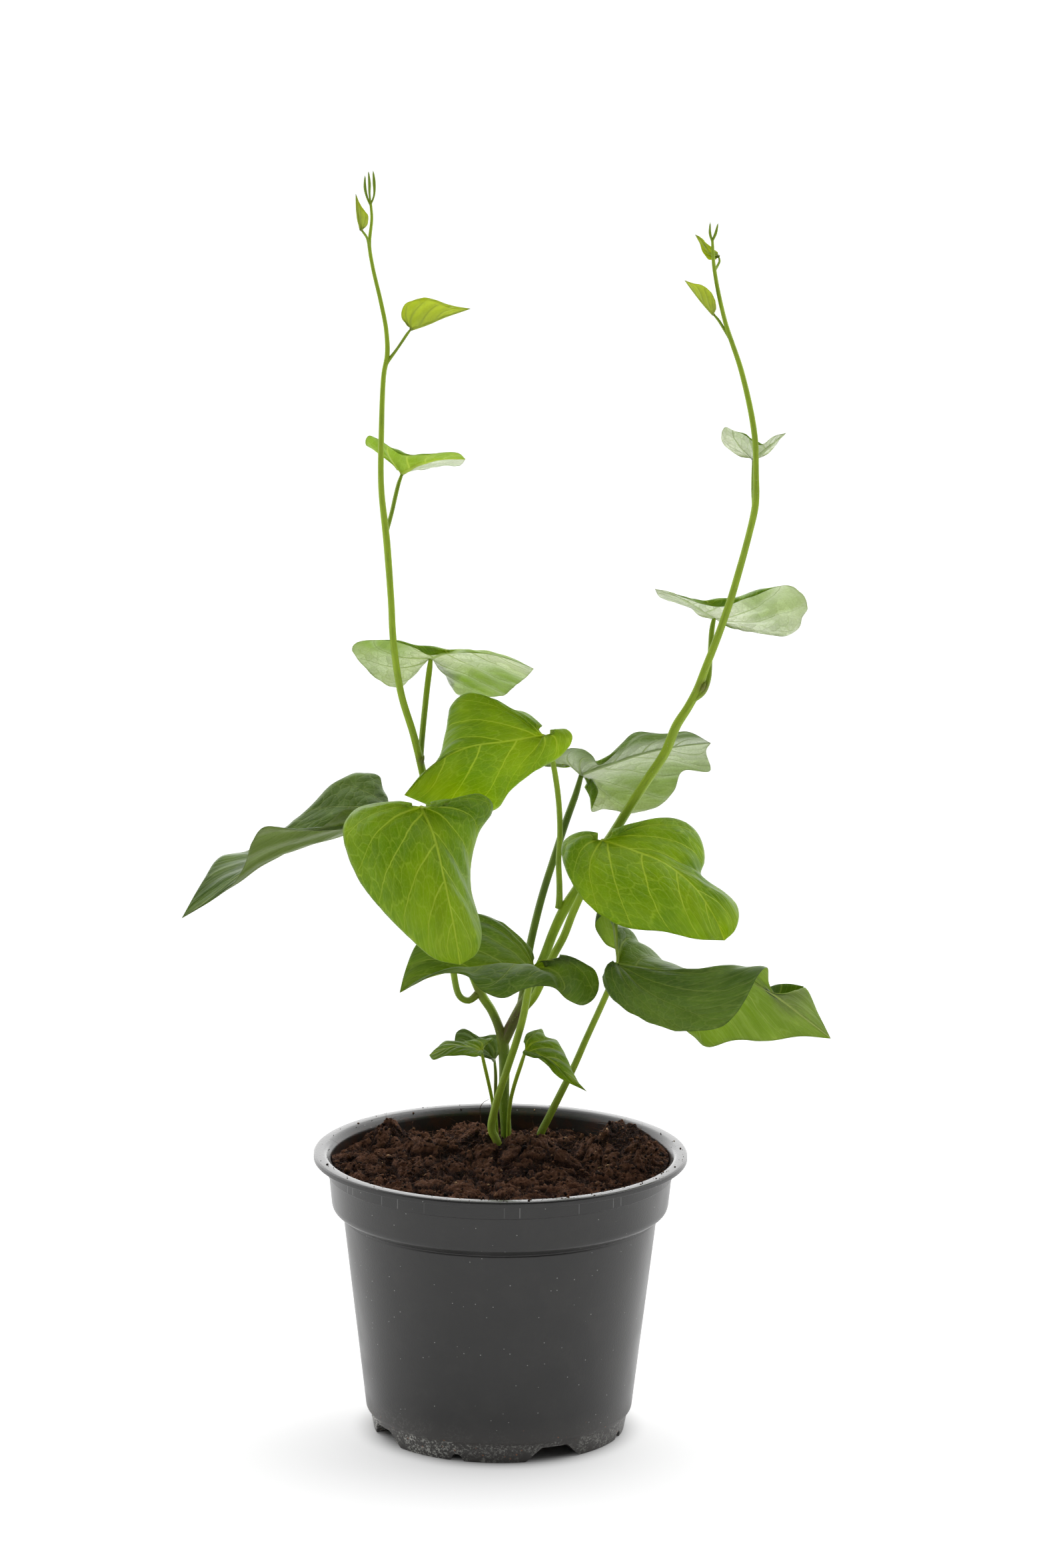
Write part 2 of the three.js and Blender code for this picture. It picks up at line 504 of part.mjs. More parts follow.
function makePot() {
  const lipZ = POT_HEIGHT - RIM_LIP;
  const outside = [
    [0, FLOOR_Z], [FOOT_RADIUS - FOOT_DEPTH - FOOT_LEAN, FLOOR_Z], [FOOT_RADIUS - FOOT_DEPTH, 0],
    [FOOT_RADIUS, 0],
    [RING_TOP_RADIUS, RING_TOP_Z], [BODY_FOOT_RADIUS, BODY_FOOT_Z],
    [SHOULDER_RADIUS, SHOULDER_Z], [BAND_FOOT_RADIUS, BAND_FOOT_Z], [BAND_TOP_RADIUS, BEAD_Z],
    [BEAD_RADIUS, BEAD_Z + BEAD_STEP], [BEAD_RADIUS, lipZ - RIM_ROOT_DROP],
    [RIM_RADIUS - RIM_OVERHANG, lipZ], [RIM_RADIUS, lipZ],
    [RIM_RADIUS, POT_HEIGHT], [RIM_RADIUS - RIM_TOP_WIDTH, POT_HEIGHT],
  ];
  const inside = [
    [MOUTH_RADIUS, MOUTH_Z], [BAND_FOOT_RADIUS - WALL, BAND_FOOT_Z + WALL_RISE],
    [SHOULDER_RADIUS - WALL, SHOULDER_Z + WALL_RISE], [BODY_FOOT_RADIUS - WALL, BODY_FOOT_Z + WALL_RISE],
    [FLOOR_RADIUS, FLOOR_TOP_Z], [0, FLOOR_TOP_Z],
  ];
  const shell = toSolid(turn([...outside, ...inside], POT_SEGMENTS));
  const cutters = [];
  for (let i = 0; i < NOTCH_COUNT; i += 1) {
    cutters.push(notchCutter(WIDE_NOTCH, i), notchCutter(NARROW_NOTCH, i), drainCutter(i));
  }
  return shell.subtract(union(cutters));
}

function soilHeight(x, y) {
  return SOIL_FORMS.reduce((height, form) => {
    const reach = ((x - form.x) ** 2 + (y - form.y) ** 2) / (2 * form.spread ** 2);
    return height + form.rise * Math.exp(-reach);
  }, SOIL_LEVEL + SOIL_TILT * y);
}

/** The radius of the wall's inner face in the band below the rim. */
function wallRadius(z) {
  const share = (z - BAND_FOOT_Z) / (MOUTH_Z - BAND_FOOT_Z);
  return THREE.MathUtils.lerp(BAND_FOOT_RADIUS - WALL, MOUTH_RADIUS, Math.min(share, 1));
}

function makeSoil(stems) {
  const inset = WALL + SOIL_GAP;
  const rise = WALL_RISE + SOIL_GAP;
  const outline = [
    [0, FLOOR_TOP_Z + SOIL_GAP], [FLOOR_RADIUS - 2 * SOIL_GAP, FLOOR_TOP_Z + SOIL_GAP],
    [BODY_FOOT_RADIUS - inset, BODY_FOOT_Z + rise], [SHOULDER_RADIUS - inset, SHOULDER_Z + rise],
    [BAND_FOOT_RADIUS - inset, BAND_FOOT_Z + rise],
  ];
  for (let ring = SOIL_RINGS; ring >= 0; ring -= 1) outline.push([ring / SOIL_RINGS, SOIL_LEVEL]);
  const heap = turn(outline, POT_SEGMENTS);
  const { position } = heap.attributes;
  for (let i = 0; i < position.count; i += 1) {
    if (position.getZ(i) > SOIL_LEVEL - 1) {
      const [across, along] = [position.getX(i), position.getY(i)];
      const edgeHeight = soilHeight(across * MOUTH_RADIUS, along * MOUTH_RADIUS);
      const edgeRadius = wallRadius(edgeHeight) - SOIL_GAP;
      const [x, y] = [across * edgeRadius, along * edgeRadius];
      position.setXYZ(i, x, y, soilHeight(x, y));
    }
  }
  const holes = stems.map(({ stations, sides, step }) => limb(stations, sides, step, CLEARANCE));
  return toSolid(heap).subtract(union(holes));
}

/** A round limb through stations [x, y, z, radius]; spare grows it, to cut room for the limb. */
function limb(stations, sides, step, spare = 0) {
  const line = rail(stations);
  const steps = Math.max(3, Math.round(line.getLength() / step));
  const { tangents, normals, binormals } = line.computeFrenetFrames(steps);
  const tube = new THREE.CylinderGeometry(1, 1, 1, sides, steps);
  const { position } = tube.attributes;
  for (let i = 0; i < position.count; i += 1) {
    const row = Math.round((0.5 - position.getY(i)) * steps);
    const station = line.getUtoTmapping(row / steps) * (stations.length - 1);
    const before = Math.min(Math.floor(station), stations.length - 2);
    const [from, to] = [stations[before][3], stations[before + 1][3]];
    const radius = THREE.MathUtils.lerp(from, to, station - before) + spare;
    const place = line.getPointAt(row / steps);
    if (row === 0) place.addScaledVector(tangents[row], -spare);
    if (row === steps) place.addScaledVector(tangents[row], spare);
    place.addScaledVector(normals[row], position.getX(i) * radius);
    place.addScaledVector(binormals[row], position.getZ(i) * radius);
    position.setXYZ(i, place.x, place.y, place.z);
  }
  return toSolid(tube);
}

/** A leaf stalk, led on to end just short of its leaf. */
function stalkStations(stations, leaf) {
  const end = toVector(stations[stations.length - 1]);
  const junction = toVector(leaf.junction);
  const seat = junction.clone().addScaledVector(end.sub(junction).normalize(), SEAT_GAP);
  return [...stations, [seat.x, seat.y, seat.z, SEAT_RADIUS]];
}

function stalks(routes) {
  return Object.entries(routes).map(([leaf, stations]) => (
    limb(stalkStations(stations, LEAVES[leaf]), STALK_SIDES, STALK_STEP)
  ));
}

/** The blade's middle surface: a sheet from the midrib to both edges, fanned round the stalk. */
function bladeSheet(leaf, { along, across }) {
  const rib = rail([leaf.junction, ...leaf.midrib, leaf.tip]);
  const edges = { left: rail([...leaf.left, leaf.tip]), right: rail([...leaf.right, leaf.tip]) };
  const forward = toVector(leaf.tip).sub(toVector(leaf.junction));
  const waveHeight = forward.length() * EDGE_WAVE_SHARE;
  const sideways = edges.right.getPointAt(WIDEST_SHARE).sub(edges.left.getPointAt(WIDEST_SHARE));
  const up = sideways.cross(forward).normalize();
  const sheet = new THREE.PlaneGeometry(2, 1, across, along);
  const { position } = sheet.attributes;
  for (let i = 0; i < position.count; i += 1) {
    const reach = Math.abs(position.getX(i));
    const t = position.getY(i) + 0.5;
    const side = position.getX(i) < 0 ? 'left' : 'right';
    const ribShare = Math.max(0, (t - FAN_SHARE) / (1 - FAN_SHARE)) ** RIB_EASE;
    const place = rib.getPointAt(ribShare).lerp(edges[side].getPointAt(t), reach);
    place.addScaledVector(toVector(leaf.swell[side]), 4 * reach * (1 - reach) * (1 - t * t));
    const wave = Math.sin(2 * Math.PI * EDGE_WAVES * t + (side === 'left' ? 0 : 2));
    place.addScaledVector(up, waveHeight * reach * reach * wave * (1 - t));
    position.setXYZ(i, place.x, place.y, place.z);
  }
  const merged = weld(sheet);
  merged.computeVertexNormals();
  return merged;
}

/** Thickens a sheet to a plate whose two faces are split into triangles alike. */
function plate(sheet, thickness) {
  const { position, normal } = sheet.attributes;
  const index = Array.from(sheet.index.array);
  const count = position.count;
  const corners = new Float32Array(count * 6);
  for (let i = 0; i < count; i += 1) {
    for (const [face, sign] of [[0, 0.5], [1, -0.5]]) {
      const base = (face * count + i) * 3;
      corners[base] = position.getX(i) + normal.getX(i) * sign * thickness;
      corners[base + 1] = position.getY(i) + normal.getY(i) * sign * thickness;
      corners[base + 2] = position.getZ(i) + normal.getZ(i) * sign * thickness;
    }
  }
  const faces = [...index];
  const edges = new Set();
  for (let i = 0; i < index.length; i += 3) {
    const [a, b, c] = index.slice(i, i + 3);
    faces.push(c + count, b + count, a + count);
    for (const [from, to] of [[a, b], [b, c], [c, a]]) edges.add(`${from},${to}`);
  }
  for (const edge of edges) {
    const [from, to] = edge.split(',').map(Number);
    if (!edges.has(`${to},${from}`)) faces.push(to, from, from + count, to, from + count, to + count);
  }
  const solid = new THREE.BufferGeometry();
  solid.setAttribute('position', new THREE.BufferAttribute(corners, 3));
  solid.setIndex(faces);
  return solid;
}

function makeBlade(name) {
  const detail = SMALL_LEAVES.includes(name) ? SMALL_BLADE : LARGE_BLADE;
  return toSolid(plate(bladeSheet(LEAVES[name], detail), BLADE_THICKNESS));
}

const part = new THREE.Group();
part.name = 'potted_sweet_potato_vine';

function addNode(name, solid, paint) {
  const material = new THREE.MeshStandardMaterial({ ...paint, metalness: 0 });
  const node = new THREE.Mesh(toGeometry(solid), material);
  node.name = name;
  part.add(node);
}

const leftStem = limb(STEMS.left_vine, VINE_SIDES, VINE_STEP);
const leftRoom = limb(STEMS.left_vine, VINE_SIDES, VINE_STEP, CLEARANCE);
const rightStem = limb(STEMS.right_vine, VINE_SIDES, VINE_STEP).subtract(leftRoom);
const leftBuds = LEFT_BUDS.map((stations) => limb(stations, STALK_SIDES, BUD_STEP));
const rightBuds = RIGHT_BUDS.map((stations) => limb(stations, STALK_SIDES, BUD_STEP));
const planted = [{ stations: STEMS.left_vine, sides: VINE_SIDES, step: VINE_STEP }];

addNode('pot', makePot(), POT_PAINT);
addNode('vine_left', union([leftStem, ...leftBuds, ...stalks(LEFT_STALKS)]), VINE_PAINT);
addNode('vine_right', union([rightStem, ...rightBuds, ...stalks(RIGHT_STALKS)]), VINE_PAINT);
for (const [leaf, stations] of Object.entries(BASE_STALKS)) {
  const route = stalkStations(stations, LEAVES[leaf]);
  planted.push({ stations: route, sides: STALK_SIDES, step: STALK_STEP });
  addNode(leaf.replace('leaf', 'stalk'), limb(route, STALK_SIDES, STALK_STEP), STALK_PAINT);
}
addNode('soil', makeSoil(planted), SOIL_PAINT);
for (const leaf of Object.keys(LEAVES)) {
  const young = /young|tip$/.test(leaf);
  addNode(leaf, makeBlade(leaf), young ? YOUNG_LEAF_PAINT : LEAF_PAINT);
}

export default part;
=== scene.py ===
import math
import random

import bmesh
import bpy
from mathutils import Matrix, Vector, noise


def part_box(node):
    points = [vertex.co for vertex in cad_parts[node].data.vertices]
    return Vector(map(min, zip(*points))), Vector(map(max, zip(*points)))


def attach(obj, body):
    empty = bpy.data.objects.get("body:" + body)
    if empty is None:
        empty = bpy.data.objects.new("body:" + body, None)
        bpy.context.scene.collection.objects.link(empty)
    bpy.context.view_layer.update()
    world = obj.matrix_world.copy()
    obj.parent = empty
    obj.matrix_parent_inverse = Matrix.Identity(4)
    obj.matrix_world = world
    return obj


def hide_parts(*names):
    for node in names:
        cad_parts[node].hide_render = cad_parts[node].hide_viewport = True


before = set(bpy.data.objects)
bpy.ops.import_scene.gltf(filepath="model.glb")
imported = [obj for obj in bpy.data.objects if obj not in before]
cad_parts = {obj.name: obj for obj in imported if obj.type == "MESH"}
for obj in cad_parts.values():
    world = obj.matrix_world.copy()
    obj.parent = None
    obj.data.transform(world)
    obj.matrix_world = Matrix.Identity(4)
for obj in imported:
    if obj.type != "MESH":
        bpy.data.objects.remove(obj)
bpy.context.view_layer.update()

# A sweet potato vine with two climbing stems in a round nursery pot.
# Forms are built in millimetres, +Z up, and become metres when a piece is finished.
MM = 0.001
PER_METRE = 1 / MM

# Vector noise draws its offsets anew in each run unless it gets a seed
NOISE_SEED = 1
noise.seed_set(NOISE_SEED)

# Camera: 3.3 m in front and about half a metre above the plant's top, looking a little down
CAMERA_PLACE = (8.85, -3300, 1045)
CAMERA_PITCH = 12.7
CAMERA_ROLL = 0.4
CAMERA_LENS = 172.7
SENSOR_SIZE = 36
VIEW_END = 50000

# Pot: the outline that its node has, with its corners rounded
RIM_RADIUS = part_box("pot")[1].x / MM
POT_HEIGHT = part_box("pot")[1].z / MM
RIM_TOP_WIDTH = 5.3
RIM_LIP = 1.4
RIM_OVERHANG = 4.5
RIM_ROOT_DROP = 1.1
MOUTH_RADIUS = 77
MOUTH_Z = 127
BEAD_RADIUS = 78.6
BEAD_Z = 120
BEAD_STEP = 0.4
BAND_TOP_RADIUS = 78
BAND_FOOT_RADIUS = 76.6
BAND_FOOT_Z = 106
SHOULDER_RADIUS = 71.4
SHOULDER_Z = 100.5
BODY_FOOT_RADIUS = 60.7
BODY_FOOT_Z = 10.4
RING_TOP_RADIUS = 58.9
RING_TOP_Z = 8.6
FOOT_RADIUS = 57.2
FOOT_DEPTH = 11
FOOT_LEAN = 1
LEDGE = 0.35
LEDGE_RISE = 0.8
WALL = 1.2
WALL_LEAN = (BAND_TOP_RADIUS - BAND_FOOT_RADIUS) / (BEAD_Z - BAND_FOOT_Z)
WALL_RISE = 0.5
FLOOR_Z = 7
FLOOR_TOP_Z = FLOOR_Z + WALL
FLOOR_RADIUS = 56.5
POT_STEPS = 192
POT_SHARPNESS = 32

# Foot ring: pads parted by wide and narrow notches in turn, with a drainage hole by each wide one
NOTCH_COUNT = 4
NOTCH_REACH = 9
NOTCH_ROUNDING = 1.1
NOTCH_DROP = 0.5
SAME_PLACE = 0.01
WIDE_NOTCH = {"foot": 28, "top": 13, "height": 6.8, "bearing": 26}
NARROW_NOTCH = {"foot": 7.5, "top": 3, "height": 3.4, "bearing": -19}
DRAIN_RADIUS = 4.5
DRAIN_CIRCLE = 46
DRAIN_SIDES = 32

# Soil
SOIL_GAP = 0.4
SOIL_LEVEL = 124
SOIL_TILT = -0.03
SOIL_CELLS = 290
CALM_EDGE = 0.93
EDGE_RELIEF = 0.35
# Relief heights over which the painted shade of the soil's hollows gives way to the painted light of its
# peaks
SHADED_RELIEF = -2.2
LIT_RELIEF = 2.4

# Loose crumbs and fibres on the soil, and the crumbs spilt on the rim
CRUMB_COUNT = 5200
CRUMB_LEAST = 0.26
CRUMB_RANGE = 0.95
CRUMB_ROUGHNESS = 0.45
CRUMB_LIFT = 0.25
WALL_ZONE = 2
WALL_SHRINK = 0.5
BARK_SHARE = 0.04
LIT_SHARE = 0.5
SPILT_COUNT = CRUMB_COUNT // 25
SPILT_BEARING = 28
SPILT_SPREAD = 26
SPILT_SHRINK = 0.55
SPILT_LIFT = 0.05
SPILT_SLOPE = 0.9
FIBRE_COUNT = 3600
FIBRE_SIDES = 3
FIBRE_STEPS = 4
FIBRE_LEAST = 1.5
FIBRE_RANGE = 8
FIBRE_RADIUS = 0.07
FIBRE_RADIUS_RANGE = 0.09
FIBRE_SINK = 0.12
FIBRE_BEND = 0.45

# Leaf blades
BLADE_THICKNESS = 0.34
BLADE_WELD = 0.002
EDGE_THINNING = 0.7
FAN_SHARE = 0.38
WIDEST_SHARE = 0.4
RIB_EASE = 1.1
EDGE_WAVES = 3
EDGE_WAVE_SHARE = 0.013
ROWS = 88
COLUMNS = 30
COLUMN_EASE = 1.35

# Stems
STEM_SIDES = 18
STEM_STEP = 1.3
SEAM_WELD = 0.0001
STEM_RIBS = 5
RIB_SHARE = 0.04
RIB_TWIST = 40
FLARE_SHARE = 0.3
FLARE_WAY = 2.2
BUD_TIP = 1.5
STALK_SINK = 0.35
STALK_END_SHARE = 0.75

# Relief of the soil: the clods' outlines stray by so much over so much, and the rest are sizes and heights
CLOD_STRAYS = ((5, 9), (1.5, 2.5))
CLOD_SIZE = 12
CLOD_HEIGHT = 3
CLOD_LEAN = 2.6
CRACK_DEPTH = 2.2
LUMP_SIZE = 4.2
LUMP_HEIGHT = 0.6
CRUST_SIZE = 7
CRUST_HEIGHT = 2.9
GRAIN_SIZE = 1.5
GRAIN_HEIGHT = 0.95

# Blade relief
VEIN_ARCH = 0.2
VEIN_BEND = 1.35
QUILT_SHARE = 0.12
QUILT_MOST = 1.2
EDGE_RUFFLE = 0.9
EDGE_NIBBLE = 0.8
RUFFLE_SIZE = 6
SAG_HEIGHT = 1.3
SAG_SIZE = 13
MIDRIB_HEIGHT = 0.7
MIDRIB_REACH = 0.75
MIDRIB_TAPER = 0.4

# Vein pattern: widths in millimetres, and nets as (scale, full line, end of line)
VEIN_STRAY = 0.07
VEIN_STRAY_SIZE = 7
SIDE_VEIN_WIDTHS = (0.46, 0.18)
MIDRIB_WIDTHS = (0.85, 0.3)
MIDRIB_FADE = 11
NET_LENGTH = 8
NET_BEND = 0.22
NET_BEND_SCALE = 3
LEAST_WIDTH = 0.01
NETS = ((2.2, 0.02, 0.09), (6.5, 0.02, 0.14))

# Each leaf's upper skin, the underside of its left and right half, and its side veins to a side
LEAF_KINDS = {
    "leaf_low_front": ("lush", "underside", "underside", 7),
    "leaf_mid_upper": ("lush", "underside", "underside", 7),
    "leaf_left_long": ("deep", "olive_underside", "olive_underside", 8),
    "leaf_low_centre": ("deep", "underside", "underside", 7),
    "leaf_right_front": ("lush", "underside", "underside", 7),
    "leaf_right_long": ("deep", "underside", "underside", 8),
    "leaf_right_back": ("lush", "pale_underside", "shaded_underside", 7),
    "leaf_left_wing": ("lush", "spring_underside", "spring_underside", 7),
    "leaf_left_high": ("lush", "pale_underside", "underside", 6),
    "leaf_left_young": ("young", "young_underside", "young_underside", 6),
    "leaf_left_tip": ("young", "young_underside", "young_underside", 5),
    "leaf_right_wing": ("lush", "pale_underside", "pale_underside", 7),
    "leaf_right_high": ("lush", "pale_underside", "pale_underside", 6),
    "leaf_right_young": ("young", "young_underside", "young_underside", 6),
    "leaf_right_tip": ("young", "young_underside", "young_underside", 5),
    "leaf_base_left": ("lush", "underside", "underside", 6),
    "leaf_base_right": ("lush", "underside", "underside", 6),
    "leaf_base_back": ("deep", "shaded_underside", "shaded_underside", 6),
}

# Where the stems turn purple-brown: the middle of each spot, its spread and its depth
BLUSHES = [
    ((3.5, 22, 181), 7, 0.95),
    ((8.5, 22, 190), 8, 0.85),
    ((-2.5, 27, 155), 9, 0.55),
    ((-12.5, 23.5, 198.5), 4, 0.85),
    ((90, 11, 344), 2.6, 0.9),
    ((-36.5, 13, 309), 2.2, 0.9),
    ((-2, 10, 131), 3, 0.5),
]

# Depth of a limb's green at its root and farther on, and the millimetres over which it changes
STEM_DEPTHS = {
    "left_vine": (0.6, 0, 130), "right_vine": (0.5, 0.08, 70), "leaf_right_front": (0, 0, 1),
    "leaf_right_back": (0.6, 0.75, 60), "leaf_low_centre": (0.1, 0.05, 40),
    "leaf_right_long": (0.35, 0.15, 60), "leaf_base_left": (0, 0, 1), "leaf_base_right": (0, 0, 1),
    "leaf_base_back": (0.4, 0.5, 30),
}
COMMON_DEPTH = (0.3, 0.15, 30)

# Colours of stems and soil
VINE_LIGHT = (0.28, 0.41, 0.012)
VINE_DARK = (0.06, 0.11, 0.012)
STALK_LIGHT = (0.3, 0.43, 0.02)
STALK_DARK = (0.08, 0.14, 0.015)
PURPLE = (0.1, 0.045, 0.035)
# SOIL_DARK is painted shade in the heap's hollows, and SOIL_LIGHT is partly painted light on its peaks
SOIL_DARK = (0.007, 0.0038, 0.003)
SOIL_MIDDLE = (0.036, 0.014, 0.0085)
SOIL_LIGHT = (0.17, 0.074, 0.037)
CRUMB_LIGHT = (0.26, 0.12, 0.055)
FIBRE_LIGHT = (0.34, 0.2, 0.1)
PORE_COLOUR = (0.45, 0.42, 0.25)

# Sizes of the patterns in the looks, in millimetres
LEAF_PATCH_SIZE = 26
LEAF_GRAIN_SIZE = 0.9
LEAF_SPECK_SIZE = 3.4
STREAK_COUNT = 9
STREAK_LENGTH = 11
STEM_PATCH_SIZE = 12
STEM_GRAIN_SIZE = 0.6
STEM_PORE_SIZE = 2.2
SOIL_LUMP_SIZE = 9
SOIL_THREAD_SIZE = 0.8
SOIL_ROUGH_SIZE = 1.6
BARK_STRIPE_SIZE = 0.7
POT_CLOUD_SIZE = 30
POT_PEEL_SIZE = 0.9
DUST_FILM_SIZE = 14
DUST_SPECK_SIZE = 2.6
LIME_SIZE = 1.2
LIME_PATCH_SIZE = 9
STUCK_SOIL_SIZE = 6
TICKS_PER_RADIAN = 34

# Heights on the pot, in metres, over which its marks come or go, and the same for x and the radius
DUST_FADE = (0.007, 0.022)
SPECK_FADE = (0.01, 0.032)
RUST_FADE = (0.008, 0.02)
LIME_FADE = (RING_TOP_Z * MM, BODY_FOOT_Z * MM)
LIME_SIDE = (-0.055, -0.004)
TICK_FOOT = (0.1203, 0.1213)
TICK_TOP = (0.1262, 0.1271)
TICK_RADII = (0.0771, 0.0774)
STUCK_SOIL_FOOT = (0.11, 0.112)
STUCK_SOIL_DEPTH = 0.0002

# Colours of the pot, and how far each kind of wear covers it and in what colour
POT_DARK = (0.0105, 0.0102, 0.0097)
POT_LIGHT = (0.0155, 0.015, 0.0143)
POT_WEAR = {
    "Dust": (0.16, (0.3, 0.27, 0.24)), "Speck": (0.5, (0.5, 0.5, 0.48)),
    "Lime": (0.85, (0.72, 0.72, 0.66)), "Rust": (0.75, (0.3, 0.11, 0.04)),
    "Tick": (0.25, (0.5, 0.5, 0.5)), "Dirt": (0.85, SOIL_MIDDLE),
}
BARK_DARK = (0.16, 0.075, 0.03)
BARK_LIGHT = (0.38, 0.24, 0.12)

# Floor and light, with the floor's size and the light's places in metres
FLOOR_SIZE = 13
FLOOR_COLOUR = (0.62, 0.62, 0.62, 1)
FLOOR_GLOW = 0.37
# The floor's glow fades out between these distances from the middle, which paints a shadow under and
# around the pot's foot
PAINTED_SHADOW_START = FOOT_RADIUS - 6
PAINTED_SHADOW_END = FOOT_RADIUS + 12
WHITE = (1, 1, 1, 1)
FRONT_LIGHT = 0.12
BACK_LIGHT = 2.4
SIDE_LIGHT = -0.1
TOP_LIGHT_PLACE = (0.9, 0.5, 2.2)
TOP_LIGHT_AIM = (0, 0, 0.3)
TOP_LIGHT_SIZE = 2
TOP_LIGHT_POWER = 15

# The two climbing stems, as stations (x, y, z, radius) from the soil up
STEMS = {
    "left_vine": [
        (2.5, 25, 108, 2.2), (2.5, 23, 134, 2.45), (1.5, 22, 148, 2.45), (1.5, 22, 164, 2.45),
        (1, 22, 174, 2.6), (-1, 22.5, 182, 2.15), (-4.5, 23.5, 190, 2.05), (-9, 24, 197, 2.15),
        (-16, 23, 214, 1.9), (-20.5, 21, 230, 1.9), (-26, 19, 252, 1.8), (-31, 17, 277, 1.75),
        (-36.5, 14.5, 304, 1.75), (-40.5, 13, 321, 1.65), (-46, 10.5, 340, 1.6),
        (-49.5, 3.5, 366, 1.55), (-50.5, 1, 385, 1.5), (-52.5, -0.5, 412, 1.6), (-55, -3, 437, 1.35),
        (-55, -4, 461, 1.25), (-54, -4, 488, 1.1), (-52.5, -4, 497, 1.1), (-53, -4, 508, 1),
        (-55.5, -4, 521, 0.95), (-59, -4, 536, 0.85), (-60.5, -4, 546, 0.8), (-59.5, -4, 558, 0.65),
        (-60, -4, 564.5, 0.6),
    ],
    "right_vine": [
        (0.5, 22, 173, 1.9), (3, 22, 180, 2.6), (5.5, 22, 185.5, 2.5), (10.5, 22, 195.5, 2.45),
        (14.5, 22, 205, 2.3), (19, 22, 215, 2.25), (23.5, 22, 227.5, 2.25), (28.5, 22, 238.5, 2.45),
        (34.5, 22, 248.5, 2.25), (42, 21, 261.5, 2.2), (50, 20, 274, 2.2), (56.5, 18, 285.5, 2.15),
        (65, 17, 299.5, 2.15), (73, 16, 312.5, 2.15), (78, 14.5, 325.5, 2.15), (83, 13.5, 334, 2),
        (87, 12.5, 342, 1.95), (91, 11, 353.5, 1.75), (95.5, 9.5, 366, 1.7), (101.5, 8, 384.5, 1.65),
        (104.5, 7, 395.5, 1.6), (109.5, 4, 416, 1.5), (112, 2, 429.5, 1.6), (112, 1, 444, 1.35),
        (111, 0, 462, 1.35), (105, -2, 489.5, 1.2), (97, -3.5, 513.5, 1), (92, -5, 537, 0.85),
        (91, -6, 550, 0.6),
    ],
}

# Leaf stalks, as stations (x, y, z, radius) from the stem to the leaf
LEFT_STALKS = {
    "leaf_low_front": [
        (-11, 24, 197.5, 1.5), (-15, 22, 195, 1.5), (-19, 20, 197.5, 1.5), (-22, 18, 210, 1.5),
        (-24, 17.5, 229, 1.4), (-26, 14.5, 240, 1.35), (-29.5, 5, 258, 1.3), (-33.5, -5, 278, 1.3),
        (-35.5, -10.5, 288, 1.3),
    ],
    "leaf_left_long": [
        (-27, 18.5, 258, 1.5), (-31, 19.5, 267, 1.5), (-37, 20, 275, 1.5), (-44, 19.5, 280, 1.4),
    ],
    "leaf_left_wing": [
        (-37.5, 14, 308, 1.35), (-36.5, 20, 320, 1.35), (-34.5, 26, 340, 1.35), (-33.5, 29, 348, 1.3),
    ],
    "leaf_left_high": [(-53, -0.5, 416, 1.05), (-51, 3, 422, 0.95), (-47.5, 12, 436, 0.9)],
    "leaf_left_young": [(-53, -4, 493, 0.85), (-48.5, -4, 499, 0.65), (-43.5, -4, 506.5, 0.65)],
    "leaf_left_tip": [(-60.5, -4, 544.5, 0.6), (-61.5, -6.5, 549.5, 0.55), (-63, -8, 552, 0.55)],
}

RIGHT_STALKS = {
    "leaf_right_front": [
        (10, 21, 191.5, 1.65), (14.5, 16, 198, 1.75), (18.5, 13, 207, 1.8), (23, 12, 218, 1.8),
        (28, 11, 228, 1.8), (32, 10, 239, 1.75), (36, 8, 249, 1.65), (40.5, 5, 262.5, 1.45),
    ],
    "leaf_right_back": [
        (8, 22.5, 189, 1.65), (10.5, 23, 203, 1.8), (12.5, 24, 218.5, 1.8), (15, 25, 230.5, 1.8),
        (18.5, 26, 244.5, 1.75), (23.5, 27, 261, 1.7), (29, 28, 278.5, 1.65), (33, 29, 290, 1.5),
    ],
    "leaf_mid_upper": [
        (26, 22, 239, 1.5), (26, 20, 249, 1.4), (25.5, 18, 262, 1.3), (26, 15, 275, 1.3),
        (25.5, 12, 288, 1.3), (24, 9, 301, 1.3), (22, 6.5, 311.5, 1.2),
    ],
    "leaf_right_wing": [
        (85.5, 12.8, 338, 1.2), (89.3, 12.8, 341.5, 1.8), (92, 14.5, 346.5, 1.35), (93, 21, 357, 1.2),
        (94, 31, 367, 1.2),
    ],
    "leaf_right_high": [(111.5, 2, 428, 0.95), (111, 5, 434, 0.85), (111, 7.5, 441, 0.85)],
    "leaf_right_young": [(100.5, -3, 503.5, 0.75), (97, -2.5, 509, 0.65), (94.5, -2.5, 513, 0.65)],
    "leaf_right_tip": [(92, -5, 535.5, 0.6), (93.5, -2.5, 537.5, 0.55), (94.5, -1, 539.5, 0.5)],
}

# Small buds at the stalks' feet, and the closed buds at the stems' tops
LEFT_BUDS = [
    [(-37, 13, 306.5, 0.6), (-36.4, 12.8, 309, 0.85), (-35.6, 12.6, 311.5, 0.3)],
    [
        (-60, -4, 563.5, 0.45), (-61.5, -4, 567, 0.5), (-62.5, -4, 571.5, 0.65), (-62.5, -4, 577, 0.25),
    ],
    [
        (-60, -4, 564, 0.45), (-60.5, -4.5, 569, 0.5), (-60.5, -5, 573.5, 0.65), (-61, -5, 579, 0.25),
    ],
    [
        (-60, -4, 564, 0.45), (-58.5, -3.5, 568, 0.45), (-58.5, -3, 574, 0.7), (-59, -3, 579, 0.25),
    ],
]

